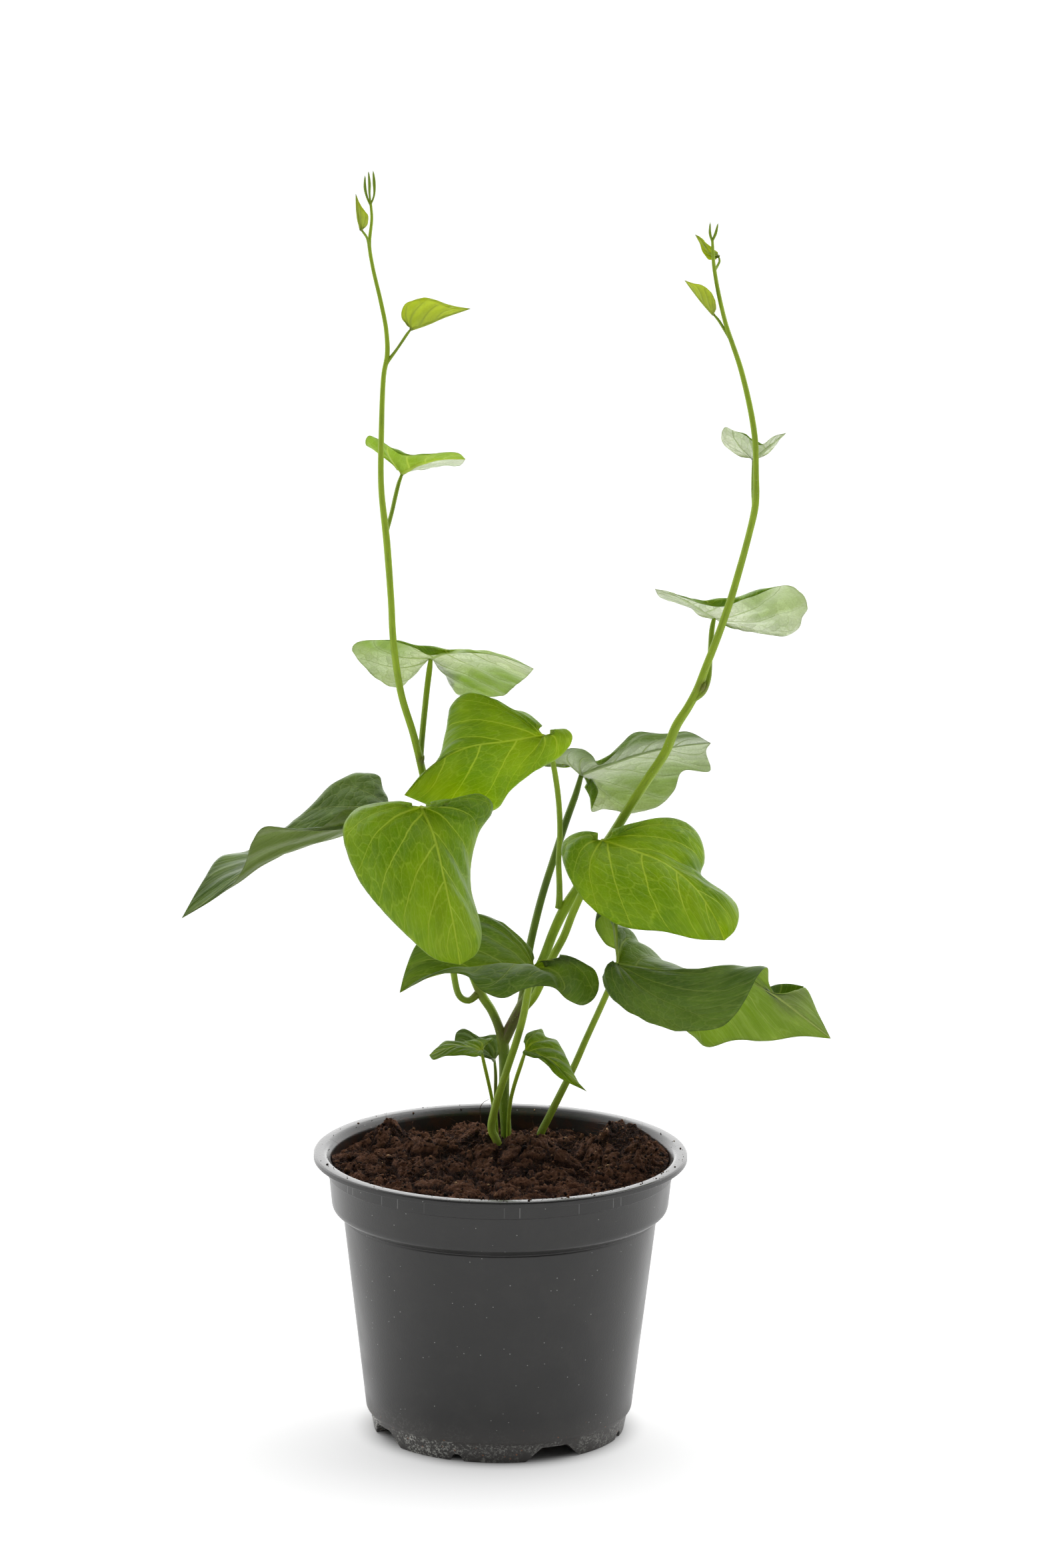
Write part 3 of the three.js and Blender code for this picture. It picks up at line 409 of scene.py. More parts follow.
RIGHT_BUDS = [
    [(88.3, 11.3, 341.5, 0.6), (89.8, 10.8, 344, 0.9), (90.8, 10.6, 346.8, 0.3)],
    [(91, -6, 549, 0.5), (90, -6, 552.5, 0.6), (90, -6, 557.5, 0.25)],
    [(91, -6, 549, 0.5), (92.5, -5.5, 552.5, 0.65), (93.5, -5, 557, 0.25)],
]

# Leaf stalks that come up out of the soil
BASE_STALKS = {
    "leaf_low_centre": [
        (2, 8, 110, 1.5), (-1, 10, 130.5, 1.8), (-4, 12, 137, 1.9), (-3, 12, 145.5, 1.8),
        (2.5, 10, 165, 1.7), (7, 8, 180, 1.7), (10, 6.5, 192, 1.7), (12, 4, 204, 1.6),
    ],
    "leaf_right_long": [
        (18, 18, 110, 1.75), (18, 15, 133, 1.8), (21.5, 14, 141.5, 1.75), (33, 10, 167, 1.6),
        (38.5, 7, 181, 1.5), (44.5, 3, 196, 1.45), (48.5, -2, 207, 1.4),
    ],
    "leaf_base_left": [
        (0.5, 19, 110, 0.8), (-2, 18.5, 136, 0.8), (-4, 16, 150, 0.8), (-8, 6, 171, 0.8),
    ],
    "leaf_base_right": [
        (4, 15, 110, 0.9), (3.5, 14.5, 136, 0.9), (4.5, 12, 151, 0.9), (9.5, 1, 172, 0.9),
    ],
    "leaf_base_back": [
        (-0.5, 29, 110, 0.8), (-2, 28.5, 134, 0.8), (-2.5, 28, 146, 0.8), (-2.5, 27, 159, 0.8),
    ],
}

# Leaves: the midrib from the stalk's junction to the tip, both edges, and how far each half swells
LEAVES = {
    "leaf_low_front": {
        "junction": (-36.5, -14, 293.5),
        "midrib": [(-31, -22, 283.5), (-26, -33, 266), (-21, -38, 243)],
        "tip": (-18.5, -33, 225.5),
        "left": [
            (-32.5, -10, 295), (-19, -8, 296.5), (-9.5, -8, 298.5), (-4.5, -6, 294), (-5, -4, 288),
            (-10, -1, 280), (-13.5, -1, 268), (-14, -6, 255), (-9, -20, 237), (-11, -27, 229.5),
        ],
        "right": [
            (-44.5, -8, 293), (-55, -5, 293), (-65.5, -6, 291), (-72, -10, 282.5), (-69.5, -15, 271.5),
            (-63.5, -22, 260.5), (-54, -28, 249.5), (-41.5, -33, 238), (-30, -36, 229),
        ],
        "swell": {"left": (2, -8, 1), "right": (0, -8, 2)},
    },
    "leaf_mid_upper": {
        "junction": (18, 3, 323),
        "midrib": [(1.5, 0, 321), (-16.5, 0, 318), (-31.5, 3, 309)],
        "tip": (-44.5, 8, 294),
        "left": [
            (23, -1, 324.5), (29.5, -4, 327), (31.5, -5, 323.5), (27, -4, 316), (13.5, 0, 306.5),
            (3, 4, 296.5), (-3, 7, 288), (-16.5, 9, 285), (-31.5, 9, 288.5),
        ],
        "right": [
            (15.5, 9, 326), (9.5, 15, 331), (3, 17, 332.5), (-6, 20, 336.5), (-16.5, 21, 338.5),
            (-23.5, 21, 333.5), (-26, 17, 321.5), (-30, 11, 308.5), (-38, 8, 301.5),
        ],
        "swell": {"left": (0, -5, 2), "right": (0, -6, 2)},
    },
    "leaf_left_long": {
        "junction": (-50, 18, 284),
        "midrib": [(-73, 16, 273.5), (-94.5, 12, 268), (-118, 8, 257), (-131, 6, 247)],
        "tip": (-145, 6, 236.5),
        "left": [
            (-54, 13, 285.5), (-63, 7, 288), (-72.5, 2, 287.5), (-85, -8, 282), (-97, -12, 282),
            (-107.5, -14, 283.5), (-112.5, -12, 277), (-116.5, -6, 263.5), (-121.5, -1, 254),
            (-131, 3, 246),
        ],
        "right": [
            (-53.5, 28, 285.5), (-58, 38, 285), (-56.5, 47, 294.5), (-64, 50, 295), (-74.5, 52, 290),
            (-86.5, 50, 281), (-100.5, 46, 270), (-116, 38, 260.5), (-129, 30, 259.5),
            (-135.5, 18, 252),
        ],
        "swell": {"left": (0, -3, -3), "right": (0, 0, -5)},
    },
    "leaf_low_centre": {
        "junction": (14.5, 0, 216),
        "midrib": [(3.5, -6, 219.5), (-8.5, -8, 219), (-22, -8, 216.5), (-34, -8, 213)],
        "tip": (-46, -8, 206),
        "left": [
            (19.5, -3, 217), (26.5, -3, 218), (34.5, -3, 219.5), (41.5, -6, 217.5), (44, -9, 212.5),
            (42.5, -14, 206.5), (37, -18, 203.5), (29.5, -18, 206), (24, -18, 211), (16, -20, 212.5),
            (9, -23, 211.5), (1, -26, 208.5), (-9, -24, 211.5), (-15.5, -20, 217), (-28, -16, 217),
            (-40, -12, 210.5),
        ],
        "right": [
            (14, 5, 218.5), (11, 9, 224.5), (5, 11, 230.5), (-2.5, 11, 235.5), (-12, 10, 239),
            (-22, 8, 238), (-31, 5, 233), (-39, 1, 226), (-44, -4, 214),
        ],
        "swell": {"left": (0, -2, 4), "right": (0, 0, 2)},
    },
    "leaf_right_front": {
        "junction": (45, 0, 275.5),
        "midrib": [(59, -6, 272.5), (74, -10, 267), (87, -12, 256.5), (95.5, -12, 243.5)],
        "tip": (100.5, -6, 231),
        "left": [
            (49.5, 5, 277.5), (62, 10, 281), (75, 13, 283.5), (85, 14, 279.5), (90.5, 13, 271.5),
            (91.5, 11, 263.5), (90, 10, 257.5), (98, 8, 250.5), (105.5, 2, 246.5), (107, -3, 241.5),
            (105, -6, 235.5),
        ],
        "right": [
            (40.5, 4, 276.5), (32.5, 4, 277.5), (27, 0, 274), (28, -8, 265), (33.5, -14, 255),
            (44, -18, 245.5), (56, -20, 240), (74, -20, 238), (87.5, -16, 234),
        ],
        "swell": {"left": (2, -6, 3), "right": (0, -7, 2)},
    },
    "leaf_right_long": {
        "junction": (52.5, -8, 220),
        "midrib": [
            (67, -14, 219.5), (86, -18, 219.5), (104.5, -16, 217.5), (119.5, -8, 208.5), (135, -3, 196),
        ],
        "tip": (149.5, 2, 183.5),
        "left": [
            (51.5, -4, 225.5), (49.5, 0, 235), (45.5, 5, 239), (42, 10, 233), (47.5, 15, 225),
            (59.5, 20, 215.5), (70.5, 24, 201.5), (79, 24, 187.5), (87.5, 20, 180), (94, 14, 176),
            (105.5, 8, 180.5), (120.5, 4, 181.5), (135.5, 2, 184.5),
        ],
        "right": [
            (49, -9, 217.5), (45, -11, 214.5), (47, -15, 210.5), (52, -20, 206), (63, -26, 200),
            (74.5, -30, 195), (89, -32, 195), (101, -32, 199), (109.5, -28, 209), (115.5, -22, 219),
            (119.5, -14, 220), (121.5, -4, 209), (129.5, 1, 199.5), (137, 5, 207), (144, 4, 194),
        ],
        "swell": {"left": (0, 4, 15), "right": (0, -4, 3)},
    },
    "leaf_right_back": {
        "junction": (35.5, 30, 299),
        "midrib": [(50, 32, 304), (65, 32, 309), (80, 30, 312.5)],
        "tip": (94, 26, 315),
        "left": [
            (40.5, 36, 296), (43.5, 44, 287.5), (40.5, 52, 277), (46, 54, 278), (58, 56, 275),
            (70, 54, 278.5), (78, 48, 288), (82, 41, 298.5), (94, 35, 300), (92, 30, 310.5),
        ],
        "right": [
            (27.5, 31, 302), (18.5, 32, 303), (18, 27, 308), (28, 22, 312), (34.5, 21, 313),
            (40, 23, 309.5), (43.5, 27, 304.5), (50, 24, 310), (54.5, 22, 316), (59.5, 21, 320.5),
            (74, 21, 320.5), (83, 21, 321.5),
        ],
        "swell": {"left": (0, 4, 3), "right": (0, 2, 2)},
    },
    "leaf_left_wing": {
        "junction": (-33, 30, 352.5),
        "midrib": [(-26, 23, 356.5), (-15.5, 14, 359.5), (0, 2, 360)],
        "tip": (13.5, -8, 356),
        "left": [
            (-29, 35, 350), (-22, 42, 344.5), (-22, 50, 333), (-13.5, 48, 331), (-3, 38, 333),
            (6.5, 17, 343.5), (11.5, 1, 351.5),
        ],
        "right": [
            (-35.5, 34, 349), (-41, 38, 343.5), (-47, 39, 337.5), (-57.5, 33, 342.5), (-64, 25, 350),
            (-68.5, 17, 359), (-64.5, 10, 364.5), (-54, 8, 365.5), (-47, 9, 364), (-39.5, 12, 360.5),
            (-34, 15, 357), (-28, 12, 358), (-19, 5, 360.5), (-9, -2, 361.5), (2, -9, 360.5),
        ],
        "swell": {"left": (0, 2, 1), "right": (0, 0, 0.5)},
    },
    "leaf_left_high": {
        "junction": (-46, 14, 440),
        "midrib": [(-38.5, 9, 445), (-28.5, 2, 449)],
        "tip": (-17.5, -6, 450.5),
        "left": [
            (-43.5, 18, 440), (-38, 24, 440), (-31.5, 26, 441), (-24, 19, 443), (-20, 8, 445),
        ],
        "right": [
            (-48.5, 17, 440.5), (-53, 20, 445.5), (-58.5, 19, 450), (-62.5, 14, 453.5), (-60.5, 8, 458),
            (-54, 6, 455.5), (-46.5, 3, 451), (-36.5, -2, 451.5), (-27.5, -6, 453.5),
            (-20.5, -8, 453.5),
        ],
        "swell": {"left": (0, 0, 1), "right": (0, 0, 1)},
    },
    "leaf_left_young": {
        "junction": (-42, -4, 508.5),
        "midrib": [(-35, -5, 511), (-27, -6, 514.5)],
        "tip": (-15.5, -8, 518.5),
        "left": [
            (-43, 0, 510.5), (-45.5, 5, 514), (-43.5, 8, 518.5), (-37.5, 9, 520.5), (-31, 6, 520),
            (-24, 0, 518.5), (-19, -5, 518.5),
        ],
        "right": [
            (-44, -6, 511), (-46.5, -9, 515.5), (-45, -11, 520.5), (-39.5, -12, 523), (-32, -12, 522.5),
            (-25.5, -11, 519.5), (-20.5, -9, 518.5),
        ],
        "swell": {"left": (0, 1, 0), "right": (0, -1, 0)},
    },
    "leaf_left_tip": {
        "junction": (-64, -9, 553.5),
        "midrib": [(-65.5, -9, 559.5)],
        "tip": (-66.5, -9, 569.5),
        "left": [(-63, -11, 554.5), (-61, -13, 557), (-61, -13, 561), (-64, -11, 563.5)],
        "right": [
            (-63, -8, 554), (-61.5, -7.5, 556.5), (-61.5, -7.5, 560.5), (-64, -8, 564),
        ],
        "swell": {"left": (0, -0.5, 0), "right": (0, 0.5, 0)},
    },
    "leaf_right_wing": {
        "junction": (95, 35, 371),
        "midrib": [(87.5, 27, 377), (78.5, 15, 384.5)],
        "tip": (67.5, 3, 390.5),
        "left": [
            (99, 40, 367.5), (105.5, 44, 363.5), (116, 46, 361.5), (128, 44, 361.5), (133.5, 40, 365.5),
            (135, 34, 372), (137, 27, 377.5), (134, 20, 385.5), (126.5, 14, 390.5), (109.5, 14, 384.5),
            (98.5, 18, 379.5), (90.5, 17, 380.5), (82, 12, 384.5), (73.5, 6, 388.5),
        ],
        "right": [
            (93.5, 38, 369), (87.5, 38, 372.5), (80, 32, 378.5), (73, 20, 382), (69, 9, 386.5),
        ],
        "swell": {"left": (0, 2, 0), "right": (0, 0, 0.5)},
    },
    "leaf_right_high": {
        "junction": (111, 9, 448),
        "midrib": [(116.5, 4, 454)],
        "tip": (125, -4, 463),
        "left": [(112.5, 12, 448), (116, 16, 449), (120, 13, 453), (123, 5, 459)],
        "right": [
            (110, 11, 448), (104.5, 14, 449.5), (99, 14, 453), (96.5, 11, 457.5), (98, 7, 463.5),
            (102.5, 6, 462), (106.5, 5, 460.5), (110.5, 4, 457.5), (114, 2, 456.5), (119.5, -2, 461),
        ],
        "swell": {"left": (0, 0, 1), "right": (0, 0, 1)},
    },
    "leaf_right_young": {
        "junction": (92, -3, 516),
        "midrib": [(87.5, -4, 521), (83, -5, 526.5)],
        "tip": (79, -6, 531.5),
        "left": [(93, -6, 518.5), (92, -9, 523.5), (87.5, -10, 530), (81.5, -8, 530.5)],
        "right": [(93, 0, 517.5), (93, 2, 521.5), (89.5, 2, 527), (84.5, -1, 529)],
        "swell": {"left": (0, -1, 0), "right": (0, 1, 0)},
    },
    "leaf_right_tip": {
        "junction": (94, 0, 541.5),
        "midrib": [(90.5, 0, 542.5), (87, -1, 547)],
        "tip": (83.5, -3, 551.5),
        "left": [(93, 0, 540), (89.5, -1, 540), (87, -3, 543), (85.5, -4, 547.5)],
        "right": [(93.5, 3, 543), (91.5, 4, 544.5), (88.5, 3, 547), (85.5, 0, 550)],
        "swell": {"left": (0, -0.5, 0), "right": (0, 0.5, 0)},
    },
    "leaf_base_left": {
        "junction": (-9, 4, 176),
        "midrib": [(-15.5, 0, 179), (-24, -5, 179.5)],
        "tip": (-32.5, -8, 177),
        "left": [
            (-8, -1, 175.5), (-11, -6, 176.5), (-16.5, -10, 177.5), (-24, -12, 178), (-30.5, -12, 176),
        ],
        "right": [
            (-5.5, 9, 178.5), (-3.5, 12, 180), (-11.5, 13, 179), (-16, 11, 178.5), (-20.5, 8, 179),
            (-25, 5, 180.5), (-29, -1, 179),
        ],
        "swell": {"left": (0, 0, 1.5), "right": (0, 0, 1)},
    },
    "leaf_base_right": {
        "junction": (11, -2, 177.5),
        "midrib": [(16.5, -5, 177), (22.5, -8, 175), (29.5, -8, 168.5)],
        "tip": (39, -4, 159.5),
        "left": [
            (10.5, 4, 180.5), (11.5, 8, 183.5), (16, 10, 184.5), (18.5, 11, 185), (20.5, 9, 181.5),
            (25, 8, 180.5), (28, 5, 177), (31, 1, 170.5), (35, -2, 163.5),
        ],
        "right": [
            (9.5, -4, 176.5), (14.5, -8, 176.5), (19.5, -11, 176), (22.5, -12, 172), (26.5, -11, 167.5),
            (30.5, -9, 165), (35, -6, 162),
        ],
        "swell": {"left": (0, -2, 1.5), "right": (0, -1, 1)},
    },
    "leaf_base_back": {
        "junction": (-3, 26, 165.5),
        "midrib": [(-7, 28, 169.5), (-13, 27, 173.5)],
        "tip": (-21.5, 22, 174.5),
        "left": [(-5, 24, 167), (-10, 22, 169), (-15, 20, 171), (-19, 20, 172)],
        "right": [
            (-0.5, 30, 168), (1.5, 33, 172.5), (-2, 33, 176), (-11.5, 31, 176), (-17, 29, 180),
            (-20.5, 26, 179),
        ],
        "swell": {"left": (0, 0, 1), "right": (0, 1, 1)},
    },
}

# The curled margin of the long right leaf, by its upper and its lower edge
CURL = {
    "top": [(121, -2, 208.5), (125, 3, 208.5), (131, 6, 208), (137, 5.5, 207)],
    "low": [(121.5, -1.5, 206.5), (125, 4, 199), (131, 6.5, 195.5), (136.5, 6, 203)],
}
CURL_COLUMNS = 16
CURL_ROWS = 8
CURL_GAP = 9

ROOT_HAIRS = [
    [
        (-9, 24, 134, 0.2), (-9.3, 24, 140, 0.18), (-9.5, 24, 144, 0.16), (-8, 24, 146.5, 0.14),
        (-5.5, 24, 148, 0.1),
    ],
    [(-25.5, 14, 131, 0.22), (-25.5, 14, 134.5, 0.2), (-24.8, 14, 137.5, 0.14)],
    [(-24, 14, 130, 0.24), (-21.5, 14, 132.3, 0.22), (-18.5, 14, 134.5, 0.26)],
]

# Mounds and hollows of the heap (x, y, rise, spread), then the clods that are finer than its node
SOIL_FORMS = [
    (0, 18, 5.5, 16), (15, -6, 2.5, 9), (-50, 46, 6, 8), (-29, 52, 3, 7),
    (-12, 62, 2.5, 7), (57, 34, 7.5, 13), (40, 54, -5, 8), (-60, 22, -3, 8),
    (-72, -8, 3, 14), (72, -6, 3.5, 14),
]
SOIL_CLODS = [
    (-33, 14, 6, 8), (-10, 24, 5, 6), (6, 4, 3, 10), (19, 13, 4.5, 7),
    (27, -6, 4.5, 6), (-14, -9, -4, 5), (-27, -18, 2.5, 7), (36, 22, -7, 7),
    (-38, 60, -7, 10), (6, 60, -5, 13), (53, 38, 4.5, 9), (70, 14, 2.5, 6),
    (59, -15, 4, 6), (44, 1, -4.5, 7), (-51, 45, 2.5, 7), (-58, -4, 2, 6),
]


class Rail:
    """A smooth line through points, which is read by its share of the way along."""

    DIVISIONS = 200

    def __init__(self, points):
        self.points = [Vector(point) for point in points]
        self.ends = [
            2 * self.points[0] - self.points[1],
            2 * self.points[-1] - self.points[-2],
        ]
        places = [self.curve(i / self.DIVISIONS) for i in range(self.DIVISIONS + 1)]
        self.ways = [0.0]
        for before, after in zip(places, places[1:]):
            self.ways.append(self.ways[-1] + (after - before).length)
        self.length = self.ways[-1]

    def curve(self, turn):
        """Centripetal Catmull-Rom, by the number of the point."""
        last = len(self.points) - 1
        i = min(int(turn * last), last - 1)
        share = turn * last - i
        a, b = self.points[i], self.points[i + 1]
        before = self.points[i - 1] if i > 0 else self.ends[0]
        after = self.points[i + 2] if i + 2 <= last else self.ends[1]
        d1 = math.sqrt((b - a).length)
        d0 = math.sqrt((a - before).length) or d1
        d2 = math.sqrt((after - b).length) or d1
        slope_a = ((a - before) / d0 - (b - before) / (d0 + d1) + (b - a) / d1) * d1
        slope_b = ((b - a) / d1 - (after - a) / (d1 + d2) + (after - b) / d2) * d1
        square = 3 * (b - a) - 2 * slope_a - slope_b
        cube = 2 * (a - b) + slope_a + slope_b
        return a + share * (slope_a + share * (square + share * cube))

    def turn(self, share):
        way = min(max(share, 0), 1) * self.length
        low, high = 0, self.DIVISIONS
        while high - low > 1:
            middle = (low + high) // 2
            if self.ways[middle] > way:
                high = middle
            else:
                low = middle
        span = self.ways[high] - self.ways[low]
        return (low + ((way - self.ways[low]) / span if span else 0)) / self.DIVISIONS

    def at(self, share):
        return self.curve(self.turn(share))


def mix(a, b, share):
    return a + (b - a) * share


def smooth(low, high, value):
    share = min(max((value - low) / (high - low), 0), 1)
    return share * share * (3 - 2 * share)


def once(parts):
    """Each part once, in the order in which it came."""
    return list(dict.fromkeys(parts))


def from_front(x, y, degrees):
    """The point (x, y), with -Y at the front, turned about the Z axis."""
    turned = math.radians(degrees)
    return (
        x * math.cos(turned) - y * math.sin(turned),
        x * math.sin(turned) + y * math.cos(turned),
    )


def of_kind(parts, kind):
    return [part for part in parts if isinstance(part, kind)]


def show(name, data):
    """Puts an object with the data into the scene."""
    shown = bpy.data.objects.new(name, data)
    bpy.context.scene.collection.objects.link(shown)
    return shown


def make_mesh(bm, name):
    """Makes a mesh of the form, and lets go of the form."""
    mesh = bpy.data.meshes.new(name)
    bm.to_mesh(mesh)
    bm.free()
    return mesh


def finish_piece(bm, name, materials, replaces=()):
    """Makes a shown piece of the form, in metres, which stands for the CAD nodes it replaces."""
    bmesh.ops.scale(bm, vec=(MM, MM, MM), verts=bm.verts)
    mesh = make_mesh(bm, name)
    mesh.shade_smooth()
    for material in materials:
        mesh.materials.append(material)
    piece = show(name, mesh)
    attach(piece, "root")
    if replaces:
        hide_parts(*replaces)
    return piece


# Node helpers

def feed(tree, node, sources):
    """Sets inputs of the node to values, or links them to other nodes' outputs."""
    for key, source in sources.items():
        if isinstance(source, bpy.types.NodeSocket):
            tree.links.new(source, node.inputs[key])
        else:
            node.inputs[key].default_value = source


def put(tree, kind, sources=None, **settings):
    """Adds a node with its settings, and feeds its inputs."""
    node = tree.nodes.new(kind)
    for key, value in settings.items():
        setattr(node, key, value)
    feed(tree, node, sources or {})
    return node


def reckon(tree, operation, *values, clamp=False):
    """Reckons with values, each a number or another node's output."""
    sources = dict(enumerate(values))
    return put(tree, "ShaderNodeMath", sources, operation=operation, use_clamp=clamp).outputs[0]


def times(tree, first, second):
    return reckon(tree, "MULTIPLY", first, second)


def plus(tree, first, second, clamp=False):
    return reckon(tree, "ADD", first, second, clamp=clamp)


def reckon_vector(tree, operation, *values):
    """Reckons with vectors, and puts out a vector, or its length under the name Value."""
    return put(tree, "ShaderNodeVectorMath", dict(enumerate(values)), operation=operation).outputs


def flat_place(tree, x, y):
    """A place of two measures, for a pattern to follow."""
    return put(tree, "ShaderNodeCombineXYZ", {0: x, 1: y}).outputs[0]


def step(tree, value, low, high, start=0.0, end=1.0):
    """Goes smoothly from start to end while value goes from low to high."""
    sources = {"Value": value, "From Min": low, "From Max": high, "To Min": start, "To Max": end}
    return put(tree, "ShaderNodeMapRange", sources, interpolation_type="SMOOTHSTEP").outputs[0]


def blend(tree, share, first, second, way="MIX"):
    """Mixes two colours, each (red, green, blue) or another node's output."""
    sources = {0: share}
    for key, colour in ((6, first), (7, second)):
        sources[key] = (*colour, 1) if isinstance(colour, tuple) else colour
    return put(tree, "ShaderNodeMix", sources, data_type="RGBA", blend_type=way).outputs[2]


def grey(tree, value):
    return put(tree, "ShaderNodeCombineColor", {0: value, 1: value, 2: value}).outputs[0]


def split(tree, source):
    return put(tree, "ShaderNodeSeparateXYZ", {0: source}).outputs


def skin_map(tree, name):
    """The measures that a piece's skin carries under the name."""
    return split(tree, put(tree, "ShaderNodeUVMap", uv_map=name).outputs[0])


def layer(tree, name):
    return put(tree, "ShaderNodeAttribute", attribute_name=name).outputs["Fac"]


def object_place(tree):
    return put(tree, "ShaderNodeTexCoord").outputs["Object"]


def fog(tree, place, size, detail=3.0, roughness=0.5, distortion=0.0):
    """Noise whose lumps are size millimetres wide, around a half."""
    sources = {
        "Vector": place, "Scale": PER_METRE / size, "Detail": detail, "Roughness": roughness,
        "Distortion": distortion,
    }
    return put(tree, "ShaderNodeTexNoise", sources).outputs[0]


def cells(tree, place, size):
    """Cells size millimetres wide: how far their middles are, and a random colour for each."""
    return put(tree, "ShaderNodeTexVoronoi", {"Vector": place, "Scale": PER_METRE / size}).outputs


def start_group(name, outputs, inputs=()):
    """A node group whose sockets are all values, with the sockets that it is given."""
    tree = bpy.data.node_groups.new(name, "ShaderNodeTree")
    for key in inputs:
        tree.interface.new_socket(key, in_out="INPUT", socket_type="NodeSocketFloat")
    for key in outputs:
        tree.interface.new_socket(key, in_out="OUTPUT", socket_type="NodeSocketFloat")
    return tree, tree.nodes.new("NodeGroupInput")


def end_group(tree, results):
    out = tree.nodes.new("NodeGroupOutput")
    feed(tree, out, results)
    return tree


def start_material(name):
    material = bpy.data.materials.new(name)
    material.use_nodes = True
    tree = material.node_tree
    return material, tree, tree.nodes["Principled BSDF"]


def give_relief(tree, shader, height, depth):
    """Bumps the shader by height, where a height of one stands depth millimetres out."""
    bump = put(tree, "ShaderNodeBump", {"Height": height, "Distance": depth * MM})
    feed(tree, shader, {"Normal": bump.outputs[0]})


# Leaf looks

def make_vein_group():
    """Where the midrib, side veins and finer nets of a blade run, from the measures on its skin."""
    outputs = ["Veins", "Net", "Height", "Margin", "Near Vein", "Inner", "Cell"]
    tree, given = start_group("leaf_veins", outputs, ["Inner Reach"])
    lateral, ribway, _ = skin_map(tree, "vein")
    gap, margin, _ = skin_map(tree, "edge")

    waver = fog(tree, object_place(tree), VEIN_STRAY_SIZE)
    strayed = plus(tree, lateral, reckon(tree, "MULTIPLY_ADD", waver, 2 * VEIN_STRAY, -VEIN_STRAY))
    share = reckon(tree, "FRACT", plus(tree, strayed, 0.5))
    aside = times(tree, reckon(tree, "ABSOLUTE", reckon(tree, "SUBTRACT", share, 0.5)), gap)
    reach = reckon(tree, "DIVIDE", ribway, plus(tree, plus(tree, ribway, margin), LEAST_WIDTH))
    width = step(tree, reach, 0, 1, *SIDE_VEIN_WIDTHS)
    side_vein = step(tree, reckon(tree, "DIVIDE", aside, width), 0.5, 1.7, 1, 0)
    side_vein = times(tree, side_vein, step(tree, margin, 0.6, 2.6))
    rib_width = step(tree, lateral, 0, MIDRIB_FADE, *MIDRIB_WIDTHS)
    midrib = step(tree, reckon(tree, "DIVIDE", ribway, rib_width), 0.6, 1.3, 1, 0)
    veins = reckon(tree, "MAXIMUM", side_vein, midrib)

    grown = flat_place(tree, strayed, reckon(tree, "DIVIDE", ribway, NET_LENGTH))
    drift = put(tree, "ShaderNodeTexNoise", {"Vector": grown, "Scale": NET_BEND_SCALE, "Detail": 2})
    bend = reckon_vector(tree, "MULTIPLY", drift.outputs["Color"], (NET_BEND, NET_BEND, 0))[0]
    bent = reckon_vector(tree, "ADD", grown, bend)[0]
    nets = []
    for scale, full, end in NETS:
        lines = put(
            tree, "ShaderNodeTexVoronoi", {"Vector": bent, "Scale": scale},
            feature="DISTANCE_TO_EDGE", voronoi_dimensions="2D",
        )
        nets.append(step(tree, lines.outputs["Distance"], full, end, 1, 0))
    net = reckon(tree, "MULTIPLY_ADD", nets[1], 0.4, times(tree, nets[0], 0.6), clamp=True)
    areole = put(
        tree, "ShaderNodeTexVoronoi", {"Vector": bent, "Scale": NETS[0][0]}, voronoi_dimensions="2D",
    )
    dome = step(tree, areole.outputs["Distance"], 0.1, 0.75)
    height = reckon(tree, "MULTIPLY_ADD", veins, 0.5, times(tree, dome, 0.4))
    lobe = step(tree, lateral, 0.8, 2.4, 2.6, 1)
    inner = reckon(tree, "DIVIDE", reckon(tree, "DIVIDE", ribway, lobe), given.outputs[0])
    return end_group(tree, {
        "Veins": veins, "Net": net, "Height": reckon(tree, "MULTIPLY_ADD", net, 0.15, height),
        "Margin": step(tree, margin, 0.15, 0.7, 1, 0), "Near Vein": step(tree, aside, 0.2, 3.2, 1, 0),
        "Inner": step(tree, inner, 0.2, 1, 1, 0), "Cell": split(tree, areole.outputs["Color"])[0],
    })


def make_blade_tone_group():
    """Patches, mottling and fine grain of leaf tissue."""
    tree, _ = start_group("leaf_tone", ["Patch", "Grain", "Speck"])
    place = object_place(tree)
    speck = cells(tree, place, LEAF_SPECK_SIZE)
    rare = step(tree, split(tree, speck["Color"])[0], 0.93, 0.94)
    small = step(tree, speck["Distance"], 0.05, 0.16, 1, 0)
    return end_group(tree, {
        "Patch": step(tree, fog(tree, place, LEAF_PATCH_SIZE, detail=4), 0.34, 0.68),
        "Grain": fog(tree, place, LEAF_GRAIN_SIZE, detail=4, roughness=0.65),
        "Speck": times(tree, rare, small),
    })


